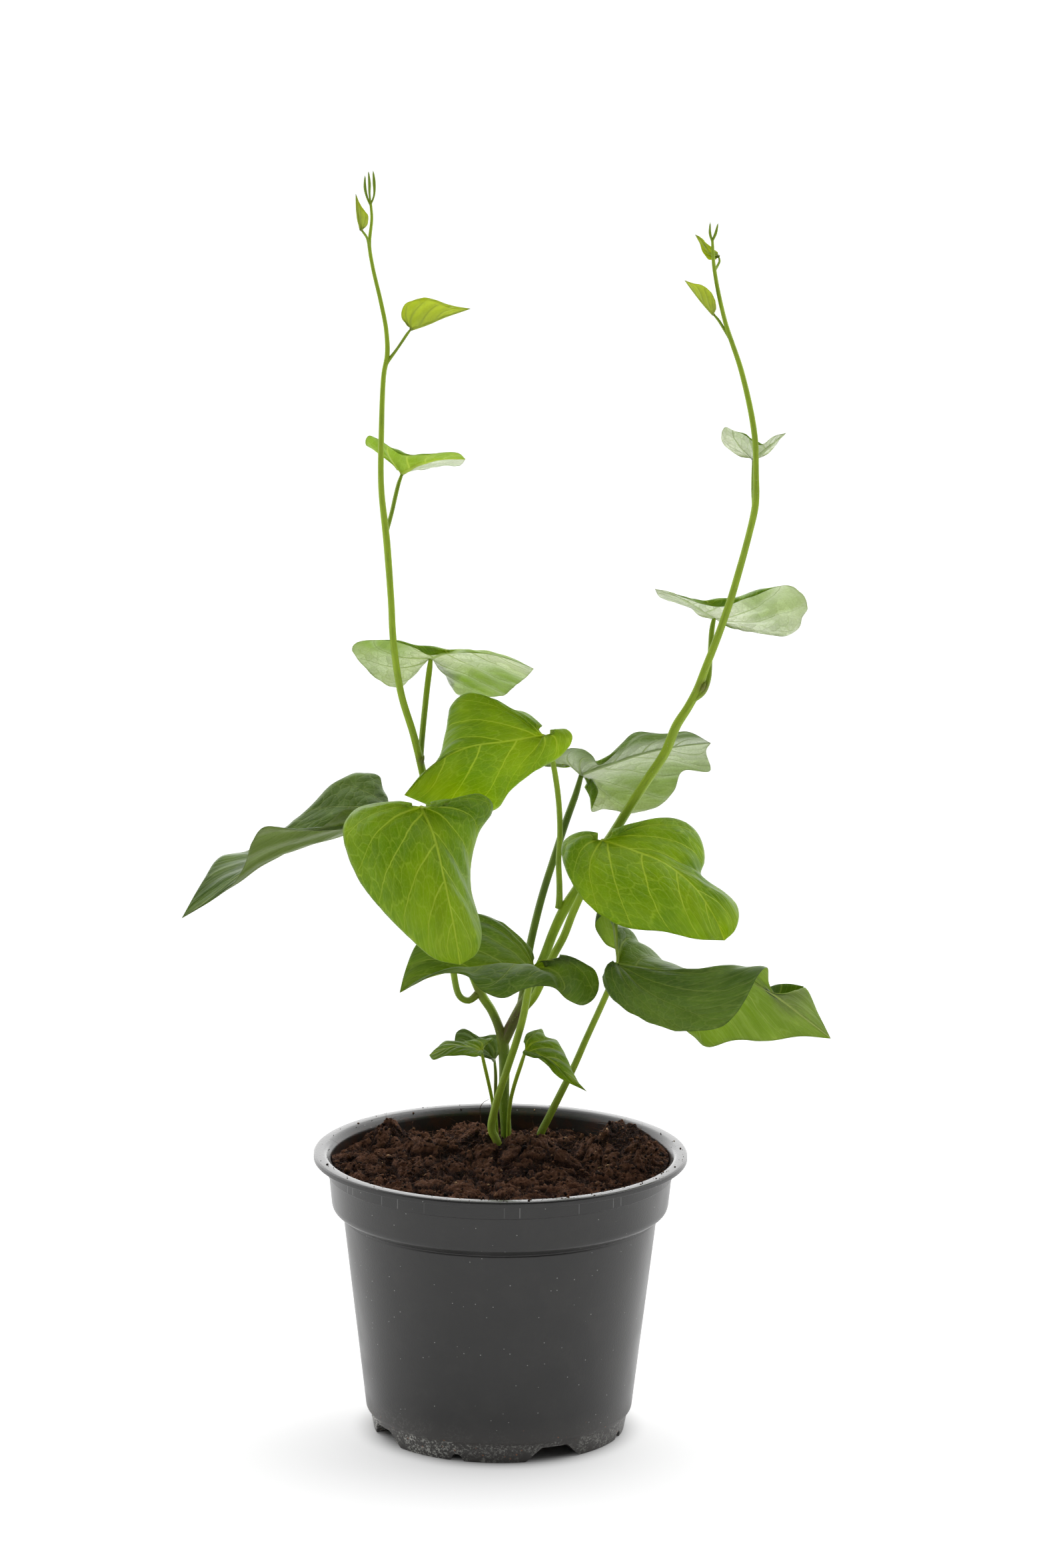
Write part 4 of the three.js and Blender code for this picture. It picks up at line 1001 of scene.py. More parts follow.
def make_leaf_skin(name, look, groups):
    """The skin of a leaf: its reflecting side, with a painted sheen where it is seen at a slant, and the
    light that comes through it.
    """
    material, tree, shader = start_material(name)
    veins = put(tree, "ShaderNodeGroup", {"Inner Reach": look["inner_reach"]}, node_tree=groups["veins"])
    tone = put(tree, "ShaderNodeGroup", node_tree=groups["tone"])
    veins, tone = veins.outputs, tone.outputs
    patch = times(tree, tone["Patch"], 1 - look["inner"])
    patch = reckon(tree, "MULTIPLY_ADD", veins["Inner"], look["inner"], patch)
    colour = blend(tree, patch, look["base"], look["patch"])
    colour = blend(tree, times(tree, veins["Near Vein"], 0.25), colour, look["patch"])
    grain = step(tree, tone["Grain"], 0.3, 0.7, 0.86, 1.12)
    shade = times(tree, grain, step(tree, veins["Cell"], 0, 1, 0.84, 1.14))
    colour = blend(tree, 1.0, colour, grey(tree, shade), "MULTIPLY")
    line = times(tree, veins["Veins"], look["line"])
    colour = blend(tree, times(tree, veins["Net"], look["net"]), colour, look["vein"])
    colour = blend(tree, line, colour, look["vein"])
    colour = blend(tree, times(tree, veins["Margin"], 0.6), colour, look["margin"])
    colour = blend(tree, times(tree, tone["Speck"], 0.5), colour, look["vein"])
    # Painted sheen: seen at a slant, the colour turns towards a pale grey-green that stands for the
    # reflection of the bright room
    facing = put(tree, "ShaderNodeLayerWeight", {"Blend": 0.5}).outputs["Facing"]
    colour = blend(tree, step(tree, facing, 0.4, 0.95, 0, look["painted_sheen"]), colour, look["painted_sheen_colour"])
    rough = reckon(tree, "MULTIPLY_ADD", tone["Patch"], 0.1, look["rough"])
    feed(tree, shader, {
        "Base Color": colour, "Roughness": reckon(tree, "MULTIPLY_ADD", line, 0.1, rough),
        "Specular IOR Level": 0.32, "Coat Weight": look["coat"], "Coat Roughness": 0.38,
    })
    height = reckon(tree, "MULTIPLY_ADD", tone["Grain"], 0.12, veins["Height"])
    give_relief(tree, shader, height, look["relief"])

    glow_veins = reckon(tree, "MULTIPLY_ADD", veins["Net"], 0.4, veins["Veins"], clamp=True)
    glow = blend(tree, patch, look["glow"], look["glow_patch"])
    glow = blend(tree, times(tree, glow_veins, look["glow_line"]), glow, look["glow_vein"])
    light = put(tree, "ShaderNodeBsdfTranslucent", {"Color": glow})
    sources = {0: look["through"], 1: shader.outputs[0], 2: light.outputs[0]}
    both = put(tree, "ShaderNodeMixShader", sources)
    feed(tree, tree.nodes["Material Output"], {"Surface": both.outputs[0]})
    return material


# painted_sheen_colour and painted_sheen: the colour and amount of each skin's painted sheen where it is
# seen at a slant
LEAF_LOOKS = {
    "lush": {
        "base": (0.06, 0.135, 0.0015), "patch": (0.13, 0.25, 0.003), "vein": (0.42, 0.54, 0.06),
        "margin": (0.04, 0.08, 0.01), "painted_sheen_colour": (0.34, 0.4, 0.28), "net": 0.6, "line": 1.0,
        "rough": 0.4, "coat": 0.04, "painted_sheen": 0.5, "inner": 0.0, "inner_reach": 20, "relief": -0.8,
        "through": 0.5, "glow": (0.42, 0.62, 0.006), "glow_patch": (0.62, 0.77, 0.012),
        "glow_vein": (0.78, 0.9, 0.15), "glow_line": 0.8,
    },
    # deep: a darker copy of the lush upper skin for the leaves that get less light, so its darkness is
    # partly painted shade
    "deep": {
        "base": (0.041, 0.09, 0.01), "patch": (0.115, 0.185, 0.036), "vein": (0.28, 0.36, 0.1),
        "margin": (0.03, 0.05, 0.01), "painted_sheen_colour": (0.34, 0.4, 0.3), "net": 0.45, "line": 0.85,
        "rough": 0.42, "coat": 0.06, "painted_sheen": 0.8, "inner": 0.0, "inner_reach": 20, "relief": -0.8,
        "through": 0.42, "glow": (0.26, 0.38, 0.02), "glow_patch": (0.36, 0.5, 0.03),
        "glow_vein": (0.5, 0.62, 0.12), "glow_line": 0.6,
    },
    "young": {
        "base": (0.17, 0.25, 0.002), "patch": (0.22, 0.31, 0.004), "vein": (0.09, 0.14, 0.003),
        "margin": (0.12, 0.16, 0.02), "painted_sheen_colour": (0.34, 0.4, 0.2), "net": 0.3, "line": 0.85,
        "rough": 0.45, "coat": 0.02, "painted_sheen": 0.1, "inner": 0.0, "inner_reach": 10, "relief": -0.3,
        "through": 0.5, "glow": (0.78, 0.84, 0.015), "glow_patch": (0.85, 0.9, 0.03),
        "glow_vein": (0.4, 0.48, 0.01), "glow_line": 0.85,
    },
    "young_underside": {
        "base": (0.2, 0.28, 0.02), "patch": (0.34, 0.41, 0.1), "vein": (0.38, 0.45, 0.1),
        "margin": (0.14, 0.18, 0.03), "painted_sheen_colour": (0.5, 0.54, 0.4), "net": 0.35, "line": 0.7,
        "rough": 0.45, "coat": 0.05, "painted_sheen": 0.2, "inner": 0.3, "inner_reach": 6, "relief": 0.35,
        "through": 0.5, "glow": (0.75, 0.84, 0.03), "glow_patch": (0.85, 0.93, 0.08),
        "glow_vein": (0.5, 0.58, 0.03), "glow_line": 0.7,
    },
    "underside": {
        "base": (0.17, 0.25, 0.03), "patch": (0.26, 0.34, 0.1), "vein": (0.42, 0.5, 0.16),
        "margin": (0.12, 0.16, 0.05), "painted_sheen_colour": (0.42, 0.47, 0.32), "net": 0.55, "line": 0.9,
        "rough": 0.45, "coat": 0.05, "painted_sheen": 0.35, "inner": 0.4, "inner_reach": 18, "relief": 0.7,
        "through": 0.5, "glow": (0.66, 0.84, 0.03), "glow_patch": (0.76, 0.9, 0.05),
        "glow_vein": (0.9, 0.97, 0.2), "glow_line": 0.6,
    },
    "olive_underside": {
        "base": (0.14, 0.19, 0.055), "patch": (0.52, 0.55, 0.44), "vein": (0.42, 0.48, 0.2),
        "margin": (0.14, 0.18, 0.07), "painted_sheen_colour": (0.45, 0.48, 0.38), "net": 0.2, "line": 0.6,
        "rough": 0.45, "coat": 0.05, "painted_sheen": 0.3, "inner": 1.0, "inner_reach": 7, "relief": 0.5,
        "through": 0.3, "glow": (0.45, 0.55, 0.1), "glow_patch": (0.5, 0.6, 0.2),
        "glow_vein": (0.3, 0.4, 0.08), "glow_line": 0.5,
    },
    "shaded_underside": {
        "base": (0.085, 0.145, 0.032), "patch": (0.72, 0.74, 0.69), "vein": (0.45, 0.52, 0.3),
        "margin": (0.07, 0.11, 0.03), "painted_sheen_colour": (0.36, 0.41, 0.3), "net": 0.4, "line": 0.95,
        "rough": 0.45, "coat": 0.08, "painted_sheen": 0.15, "inner": 0.97, "inner_reach": 8.5, "relief": 0.7,
        "through": 0.16, "glow": (0.5, 0.66, 0.08), "glow_patch": (0.6, 0.75, 0.2),
        "glow_vein": (0.3, 0.42, 0.08), "glow_line": 0.6,
    },
    "pale_underside": {
        "base": (0.33, 0.43, 0.17), "patch": (0.86, 0.87, 0.83), "vein": (0.42, 0.52, 0.24),
        "margin": (0.3, 0.36, 0.18), "painted_sheen_colour": (0.78, 0.8, 0.75), "net": 0.5, "line": 0.7,
        "rough": 0.42, "coat": 0.15, "painted_sheen": 0.45, "inner": 0.75, "inner_reach": 28, "relief": 0.7,
        "through": 0.18, "glow": (0.76, 0.9, 0.1), "glow_patch": (0.9, 0.96, 0.5),
        "glow_vein": (0.5, 0.64, 0.1), "glow_line": 0.75,
    },
    "spring_underside": {
        "base": (0.25, 0.37, 0.05), "patch": (0.87, 0.88, 0.84), "vein": (0.34, 0.44, 0.12),
        "margin": (0.24, 0.32, 0.1), "painted_sheen_colour": (0.6, 0.66, 0.5), "net": 0.5, "line": 0.7,
        "rough": 0.42, "coat": 0.12, "painted_sheen": 0.12, "inner": 0.9, "inner_reach": 25, "relief": 0.7,
        "through": 0.28, "glow": (0.66, 0.86, 0.06), "glow_patch": (0.9, 0.96, 0.5),
        "glow_vein": (0.5, 0.64, 0.1), "glow_line": 0.75,
    },
}


# Stem, soil and pot looks

def make_stem_skin(name, light, dark):
    material, tree, shader = start_material(name)
    around, way, _ = skin_map(tree, "skin")
    place = object_place(tree)
    streak_place = flat_place(
        tree, times(tree, around, STREAK_COUNT), reckon(tree, "DIVIDE", way, STREAK_LENGTH),
    )
    sources = {"Vector": streak_place, "Scale": 1.6, "Detail": 4}
    streak = put(tree, "ShaderNodeTexNoise", sources).outputs[0]
    patch = step(tree, fog(tree, place, STEM_PATCH_SIZE), 0.35, 0.7, -0.06, 0.1)
    colour = blend(tree, plus(tree, layer(tree, "deep"), patch, clamp=True), light, dark)
    colour = blend(tree, step(tree, streak, 0.45, 0.7, 0, 0.25), colour, dark)
    mottled = times(tree, layer(tree, "blush"), step(tree, streak, 0.25, 0.6, 1, 0.55))
    colour = blend(tree, mottled, colour, PURPLE)
    pores = step(tree, cells(tree, place, STEM_PORE_SIZE)["Distance"], 0.06, 0.14, 0.35, 0)
    feed(tree, shader, {
        "Base Color": blend(tree, pores, colour, PORE_COLOUR),
        "Roughness": step(tree, streak, 0.3, 0.7, 0.42, 0.56), "Specular IOR Level": 0.3,
    })
    give_relief(tree, shader, plus(tree, streak, fog(tree, place, STEM_GRAIN_SIZE)), 0.22)
    return material


def make_soil_look(name, dark, middle, light):
    material, tree, shader = start_material(name)
    place, painted_relief_light = object_place(tree), layer(tree, "painted_relief_light")
    lump = fog(tree, place, SOIL_LUMP_SIZE, detail=6, roughness=0.65)
    grain = cells(tree, place, GRAIN_SIZE)
    tint = split(tree, grain["Color"])[0]
    thread_place = put(tree, "ShaderNodeMapping", {0: place, 2: (0.5, 0.2, 0.8), 3: (1, 0.14, 0.7)})
    thread = fog(tree, thread_place.outputs[0], SOIL_THREAD_SIZE, detail=3, distortion=1.2)
    lit = times(tree, step(tree, lump, 0.38, 0.66), 0.55)
    # Painted shade in the hollows and painted light on the peaks, from the relief layer, over random lumps
    colour = blend(tree, reckon(tree, "MULTIPLY_ADD", painted_relief_light, 0.55, lit), dark, middle)
    colour = blend(tree, step(tree, painted_relief_light, 0.55, 0.95, 0, 0.55), colour, light)
    colour = blend(tree, step(tree, tint, 0.55, 0.95, 0, 0.6), colour, middle)
    colour = blend(tree, step(tree, thread, 0.56, 0.68, 0, 0.65), colour, light)
    feed(tree, shader, {"Base Color": colour, "Roughness": 0.92, "Specular IOR Level": 0.2})
    rough = fog(tree, place, SOIL_ROUGH_SIZE, detail=6, roughness=0.7)
    rough = reckon(tree, "MULTIPLY_ADD", thread, 0.5, rough)
    rough = reckon(tree, "SUBTRACT", rough, times(tree, grain["Distance"], 0.4))
    give_relief(tree, shader, rough, 1.1)
    return material


def make_bark_look():
    material, tree, shader = start_material("bark_bits")
    stripe_place = put(tree, "ShaderNodeMapping", {0: object_place(tree), 3: (1, 0.25, 1)})
    stripe = fog(tree, stripe_place.outputs[0], BARK_STRIPE_SIZE, detail=4)
    colour = blend(tree, step(tree, stripe, 0.35, 0.65), BARK_DARK, BARK_LIGHT)
    feed(tree, shader, {"Base Color": colour, "Roughness": 0.85})
    give_relief(tree, shader, stripe, 0.3)
    return material


def make_wear_group():
    """Dust, dried water marks and rust specks of a used pot, by height and place."""
    tree, _ = start_group("pot_wear", list(POT_WEAR))
    place = object_place(tree)
    x, y, z = split(tree, place)
    low = step(tree, z, *DUST_FADE, 1, 0)
    film = step(tree, fog(tree, place, DUST_FILM_SIZE, detail=6, roughness=0.6), 0.45, 0.75)
    speck = cells(tree, place, DUST_SPECK_SIZE)
    chance, rust_chance, _ = split(tree, speck["Color"])
    common = plus(tree, chance, step(tree, z, *SPECK_FADE, 0.2, 0))
    small = step(tree, speck["Distance"], 0.05, 0.13, 1, 0)
    rusty = times(tree, step(tree, rust_chance, 0.78, 0.8), step(tree, z, *RUST_FADE, 1, 0))

    lime = step(tree, fog(tree, place, LIME_SIZE, detail=5, roughness=0.8), 0.51, 0.57)
    lime = times(tree, lime, step(tree, fog(tree, place, LIME_PATCH_SIZE, detail=4), 0.36, 0.56))
    lime_side = step(tree, x, *LIME_SIDE, 1, 0.25)
    lime_side = times(tree, lime_side, step(tree, z, *LIME_FADE, 1, 0.12))

    column = times(tree, reckon(tree, "ARCTAN2", y, x), TICKS_PER_RADIAN)
    tick_chance = put(
        tree, "ShaderNodeTexWhiteNoise", {"W": reckon(tree, "FLOOR", column)}, noise_dimensions="1D",
    )
    within = reckon(tree, "SUBTRACT", reckon(tree, "FRACT", column), 0.5)
    thin = step(tree, reckon(tree, "ABSOLUTE", within), 0.06, 0.13, 1, 0)
    band = times(tree, step(tree, z, *TICK_FOOT), step(tree, z, *TICK_TOP, 1, 0))
    level = reckon_vector(tree, "MULTIPLY", place, (1, 1, 0))[0]
    radius = reckon_vector(tree, "LENGTH", level)["Value"]
    band = times(tree, band, step(tree, radius, *TICK_RADII))
    tick = times(tree, thin, step(tree, tick_chance.outputs[0], 0.83, 0.95))

    base = BAND_FOOT_RADIUS - WALL / 2 - BAND_FOOT_Z * WALL_LEAN
    middle = reckon(tree, "MULTIPLY_ADD", z, WALL_LEAN, base * MM)
    inside = step(tree, reckon(tree, "SUBTRACT", middle, radius), 0, STUCK_SOIL_DEPTH)
    stuck = step(tree, fog(tree, place, STUCK_SOIL_SIZE, detail=6, roughness=0.7), 0.44, 0.6)
    return end_group(tree, {
        "Dust": reckon(tree, "MULTIPLY_ADD", film, 0.12, times(tree, low, 0.5), clamp=True),
        "Speck": times(tree, step(tree, common, 0.8, 0.82), small),
        "Lime": times(tree, times(tree, lime, low), lime_side),
        "Rust": times(tree, rusty, step(tree, speck["Distance"], 0.08, 0.2, 1, 0)),
        "Tick": times(tree, tick, band),
        "Dirt": times(tree, times(tree, inside, stuck), step(tree, z, *STUCK_SOIL_FOOT)),
    })


def make_pot_look():
    material, tree, shader = start_material("pot_plastic_worn")
    wear = put(tree, "ShaderNodeGroup", node_tree=make_wear_group()).outputs
    place = object_place(tree)
    cloud = step(tree, fog(tree, place, POT_CLOUD_SIZE, detail=5), 0.35, 0.7)
    colour = blend(tree, cloud, POT_DARK, POT_LIGHT)
    for mark, (cover, tint) in POT_WEAR.items():
        colour = blend(tree, times(tree, wear[mark], cover), colour, tint)
    z = split(tree, place)[2]
    rim = step(tree, z, (POT_HEIGHT - RIM_LIP) * MM, (POT_HEIGHT - RIM_LIP / 2) * MM, 0, -0.14)
    rough = plus(tree, rim, step(tree, cloud, 0, 1, 0.28, 0.34))
    feed(tree, shader, {
        "Base Color": colour, "Roughness": reckon(tree, "MULTIPLY_ADD", wear["Dust"], 0.25, rough),
        "Specular IOR Level": 0.5,
    })
    peel = fog(tree, place, POT_PEEL_SIZE, detail=2)
    give_relief(tree, shader, reckon(tree, "MULTIPLY_ADD", wear["Dust"], 0.6, peel), 0.05)
    return material


# Pot

def outline_wire(bm, corners):
    """A chain of edges through corners (radius, z, rounding), with each corner rounded."""
    verts = [bm.verts.new((radius, 0, z)) for radius, z, _ in corners]
    for before, after in zip(verts, verts[1:]):
        bm.edges.new((before, after))
    for rounding in sorted({corner[2] for corner in corners} - {0}):
        chosen = [vert for vert, corner in zip(verts, corners) if corner[2] == rounding]
        round_off(bm, chosen, rounding, "VERTICES")


def round_off(bm, parts, offset, affect):
    return bmesh.ops.bevel(
        bm, geom=parts, offset=offset, offset_type="OFFSET", segments=4, profile=0.5,
        affect=affect, material=-1,
    )


def pot_corners():
    """The pot's outline from the axis under the floor, out and up, and down the inside."""
    lip_z = POT_HEIGHT - RIM_LIP
    return [
        (0, FLOOR_Z, 0), (FOOT_RADIUS - FOOT_DEPTH - FOOT_LEAN, FLOOR_Z, 0),
        (FOOT_RADIUS - FOOT_DEPTH, 0, 0.5), (FOOT_RADIUS, 0, 0.5),
        (RING_TOP_RADIUS, RING_TOP_Z, 0.6), (BODY_FOOT_RADIUS, BODY_FOOT_Z, 1.1),
        (SHOULDER_RADIUS, SHOULDER_Z, 0.5), (SHOULDER_RADIUS - LEDGE, SHOULDER_Z + LEDGE_RISE, 0.4),
        (BAND_FOOT_RADIUS - 2 * LEDGE, BAND_FOOT_Z - 2 * LEDGE_RISE, 0.8),
        (BAND_FOOT_RADIUS, BAND_FOOT_Z, 1.2),
        (BAND_TOP_RADIUS, BEAD_Z, 0.1), (BEAD_RADIUS, BEAD_Z + BEAD_STEP, 0.1),
        (BEAD_RADIUS, lip_z - RIM_ROOT_DROP, 0.5), (RIM_RADIUS - RIM_OVERHANG, lip_z, 0.5),
        (RIM_RADIUS, lip_z - RIM_LIP, 0.4), (RIM_RADIUS, POT_HEIGHT, 0.9),
        (RIM_RADIUS - RIM_TOP_WIDTH, POT_HEIGHT, 1.1), (MOUTH_RADIUS, MOUTH_Z, 0.8),
        (BAND_FOOT_RADIUS - WALL, BAND_FOOT_Z + WALL_RISE, 1.5),
        (SHOULDER_RADIUS - WALL, SHOULDER_Z + WALL_RISE, 2),
        (BODY_FOOT_RADIUS - WALL, BODY_FOOT_Z + WALL / 2, 1), (FLOOR_RADIUS, FLOOR_TOP_Z, 0.4),
        (0, FLOOR_TOP_Z, 0),
    ]


def turn_to_place(bm, verts, notch_bearing, turn_index):
    """Turns what stands at the front to its bearing, for each of the four turns round the foot."""
    angle = math.radians(notch_bearing + 360 / NOTCH_COUNT * turn_index)
    bmesh.ops.rotate(bm, verts=verts, cent=(0, 0, 0), matrix=Matrix.Rotation(angle, 3, "Z"))


def add_notch_cutter(bm, notch, turn_index):
    """A block narrower at its top, whose ceiling runs into its sides in a rounding."""
    block = bmesh.ops.create_cube(bm, size=1)["verts"]
    for vert in block:
        upper = vert.co.z > 0
        vert.co.x *= notch["top"] if upper else notch["foot"]
        vert.co.y *= FOOT_DEPTH + NOTCH_REACH
        vert.co.z = notch["height"] if upper else -NOTCH_DROP
    bmesh.ops.translate(bm, vec=(0, FOOT_DEPTH / 2 - RING_TOP_RADIUS, 0), verts=block)
    ceiling = []
    for edge in once(edge for vert in block for edge in vert.link_edges):
        start, end = (vert.co for vert in edge.verts)
        if min(start.z, end.z) > 0 and abs(start.x - end.x) < SAME_PLACE:
            ceiling.append(edge)
    rounded = round_off(bm, ceiling, NOTCH_ROUNDING, "EDGES")
    block = once([*[vert for vert in block if vert.is_valid], *rounded["verts"]])
    turn_to_place(bm, block, notch["bearing"], turn_index)


def add_drain_cutter(bm, turn_index):
    drill = bmesh.ops.create_cone(
        bm, cap_ends=True, segments=DRAIN_SIDES, radius1=DRAIN_RADIUS, radius2=DRAIN_RADIUS,
        depth=FLOOR_Z * 2,
    )["verts"]
    bmesh.ops.translate(bm, vec=(0, -DRAIN_CIRCLE, FLOOR_Z), verts=drill)
    turn_to_place(bm, drill, WIDE_NOTCH["bearing"], turn_index)


def cut_away(piece, cutters):
    """Cuts the form of cutters, in millimetres, out of the piece."""
    bmesh.ops.scale(cutters, vec=(MM, MM, MM), verts=cutters.verts)
    tool = show("cutters", make_mesh(cutters, "cutters"))
    cut = piece.modifiers.new("cut", "BOOLEAN")
    cut.object = tool
    cut.solver = "EXACT"
    cut.use_self = True
    graph = bpy.context.evaluated_depsgraph_get()
    piece.data = bpy.data.meshes.new_from_object(piece.evaluated_get(graph))
    piece.modifiers.clear()
    bpy.data.objects.remove(tool)


def make_pot(material):
    bm = bmesh.new()
    outline_wire(bm, pot_corners())
    bmesh.ops.spin(
        bm, geom=bm.verts[:] + bm.edges[:], cent=(0, 0, 0), axis=(0, 0, 1), angle=math.tau,
        steps=POT_STEPS, use_merge=True, use_duplicate=False,
    )
    bmesh.ops.remove_doubles(bm, verts=bm.verts, dist=0.001)
    bmesh.ops.recalc_face_normals(bm, faces=bm.faces)
    pot = finish_piece(bm, "pot_shell", [material], ["pot"])
    cutters = bmesh.new()
    for turn_index in range(NOTCH_COUNT):
        add_notch_cutter(cutters, WIDE_NOTCH, turn_index)
        add_notch_cutter(cutters, NARROW_NOTCH, turn_index)
        add_drain_cutter(cutters, turn_index)
    cut_away(pot, cutters)
    pot.data.set_sharp_from_angle(angle=math.radians(POT_SHARPNESS))


# Soil

def soil_level(x, y):
    """The height of the heap at (x, y), without its relief."""
    height = SOIL_LEVEL + SOIL_TILT * y
    for middle_x, middle_y, rise, spread in SOIL_FORMS + SOIL_CLODS:
        reach = ((x - middle_x) ** 2 + (y - middle_y) ** 2) / (2 * spread ** 2)
        height += rise * math.exp(-reach)
    return height


def soil_relief(x, y):
    """Clods, the cracks between them and loose grains, as a height above the soil's level."""
    place = Vector((x, y, 0))
    bent = place
    for stray, size in CLOD_STRAYS:
        bent = bent + stray * noise.noise_vector(place / size)
    nearest, second = noise.voronoi(bent / CLOD_SIZE)[0][:2]
    clods = CLOD_HEIGHT * (0.55 - nearest * nearest)
    cracks = CRACK_DEPTH * (1 - smooth(0, 0.3, second - nearest))
    small, beside = noise.voronoi(place / LUMP_SIZE + Vector((7, 3, 1)))[0][:2]
    lumps = LUMP_HEIGHT * (0.5 - small * small) * smooth(0, 0.2, beside - small)
    crust = CRUST_HEIGHT * (0.4 - abs(noise.fractal(place / CRUST_SIZE, 0.8, 2.2, 5)))
    grains = GRAIN_HEIGHT * noise.noise(place / GRAIN_SIZE)
    return clods - cracks + lumps + crust + grains


def wall_radius(z):
    """The radius of the pot's inner face in the band below its rim."""
    share = (z - BAND_FOOT_Z) / (MOUTH_Z - BAND_FOOT_Z)
    return mix(BAND_FOOT_RADIUS - WALL, MOUTH_RADIUS, min(share, 1))


def make_soil(material):
    """The heap, and the corners of its top, for loose crumbs to lie on."""
    bm = bmesh.new()
    painted_relief_light = bm.verts.layers.float.new("painted_relief_light")
    top = bmesh.ops.create_grid(bm, x_segments=SOIL_CELLS, y_segments=SOIL_CELLS, size=1)["verts"]
    for vert in top:
        across = vert.co.x * math.sqrt(1 - vert.co.y ** 2 / 2)
        along = vert.co.y * math.sqrt(1 - vert.co.x ** 2 / 2)
        inner = 1 - smooth(CALM_EDGE, 1, math.hypot(across, along))
        x, y = across * MOUTH_RADIUS, along * MOUTH_RADIUS
        shift = CLOD_LEAN * inner * noise.noise_vector(Vector((x, y, 40)) / CLOD_SIZE)
        relief = soil_relief(x, y)
        height = soil_level(x, y) + relief * (EDGE_RELIEF + (1 - EDGE_RELIEF) * inner)
        edge = (wall_radius(height) - SOIL_GAP) / MOUTH_RADIUS
        vert.co = (x * edge + shift.x, y * edge + shift.y, height + shift.z)
        # Painted light and shade: 0 in the hollows, which are painted dark, up to 1 on the peaks, which
        # are painted light
        vert[painted_relief_light] = smooth(SHADED_RELIEF, LIT_RELIEF, relief + 0.6 * shift.z)
    rim = [edge for edge in bm.edges if edge.is_boundary]
    side = (SHOULDER_RADIUS - WALL - SOIL_GAP, SHOULDER_Z)
    foot = (FLOOR_RADIUS - 2 * SOIL_GAP, FLOOR_TOP_Z + SOIL_GAP)
    for radius, z in (side, foot):
        skirt = bmesh.ops.extrude_edge_only(bm, edges=rim)["geom"]
        rim = of_kind(skirt, bmesh.types.BMEdge)
        for vert in of_kind(skirt, bmesh.types.BMVert):
            share = radius / math.hypot(vert.co.x, vert.co.y)
            vert.co = (vert.co.x * share, vert.co.y * share, z)
    bmesh.ops.holes_fill(bm, edges=rim)
    bmesh.ops.recalc_face_normals(bm, faces=bm.faces)
    bm.normal_update()
    seats = [(vert.co.copy(), vert.normal.copy()) for vert in top if vert.is_valid]
    finish_piece(bm, "soil_heap", [material], ["soil"])
    return seats


def multiply(bm, count):
    """Doubles what the form holds until it is there count times, each copy with its own number."""
    number = bm.verts.layers.int.new("number")
    made = 1
    while made < count:
        copied = [vert for vert in bm.verts if vert[number] < count - made]
        faces = once(face for vert in copied for face in vert.link_faces)
        edges = once(edge for face in faces for edge in face.edges)
        new = bmesh.ops.duplicate(bm, geom=copied + edges + faces)["geom"]
        for vert in of_kind(new, bmesh.types.BMVert):
            vert[number] += made
        made = min(2 * made, count)
    return number


def scatter_crumbs(seats, materials):
    """Loose crumbs on the soil, and a few on the rim where soil was spilt."""
    draw = random.Random(11)
    bm = bmesh.new()
    bmesh.ops.create_icosphere(bm, subdivisions=1, radius=1)
    number = multiply(bm, CRUMB_COUNT)
    plans = []
    for i in range(CRUMB_COUNT):
        size = CRUMB_LEAST + CRUMB_RANGE * draw.random() ** 3.5
        if i < SPILT_COUNT:
            bearing = draw.gauss(SPILT_BEARING, SPILT_SPREAD) if i % 3 else draw.uniform(-180, 180)
            reach = draw.uniform(MOUTH_RADIUS + 0.5, RIM_RADIUS - 1)
            place = Vector((*from_front(0, -reach, bearing), POT_HEIGHT + SPILT_LIFT))
            place.z += min(0, (reach - RIM_RADIUS + RIM_TOP_WIDTH)) * SPILT_SLOPE
            size *= SPILT_SHRINK
        else:
            place = draw.choice(seats)[0] + Vector((0, 0, CRUMB_LIFT * size))
            if math.hypot(place.x, place.y) > MOUTH_RADIUS - WALL_ZONE:
                size *= WALL_SHRINK
        turned = draw.uniform(0, math.tau)
        spin = Matrix.Rotation(turned, 3, Vector((draw.random(), draw.random(), 0.3)))
        stretch = Vector((draw.uniform(0.6, 1.4), draw.uniform(0.6, 1.2), draw.uniform(0.45, 0.9)))
        plans.append((place, spin, stretch * size, draw.uniform(0, 90), draw.random()))
    for vert in bm.verts:
        place, spin, stretch, offset, _ = plans[vert[number]]
        rough = 1 + CRUMB_ROUGHNESS * noise.noise(vert.co * 1.7 + Vector((offset, 0, 0)))
        vert.co = place + spin @ (vert.co * rough * stretch)
    for face in bm.faces:
        kind = plans[face.verts[0][number]][4]
        face.material_index = 2 if kind < BARK_SHARE else int(kind < LIT_SHARE)
    bm.verts.layers.int.remove(number)
    finish_piece(bm, "soil_crumbs", materials)


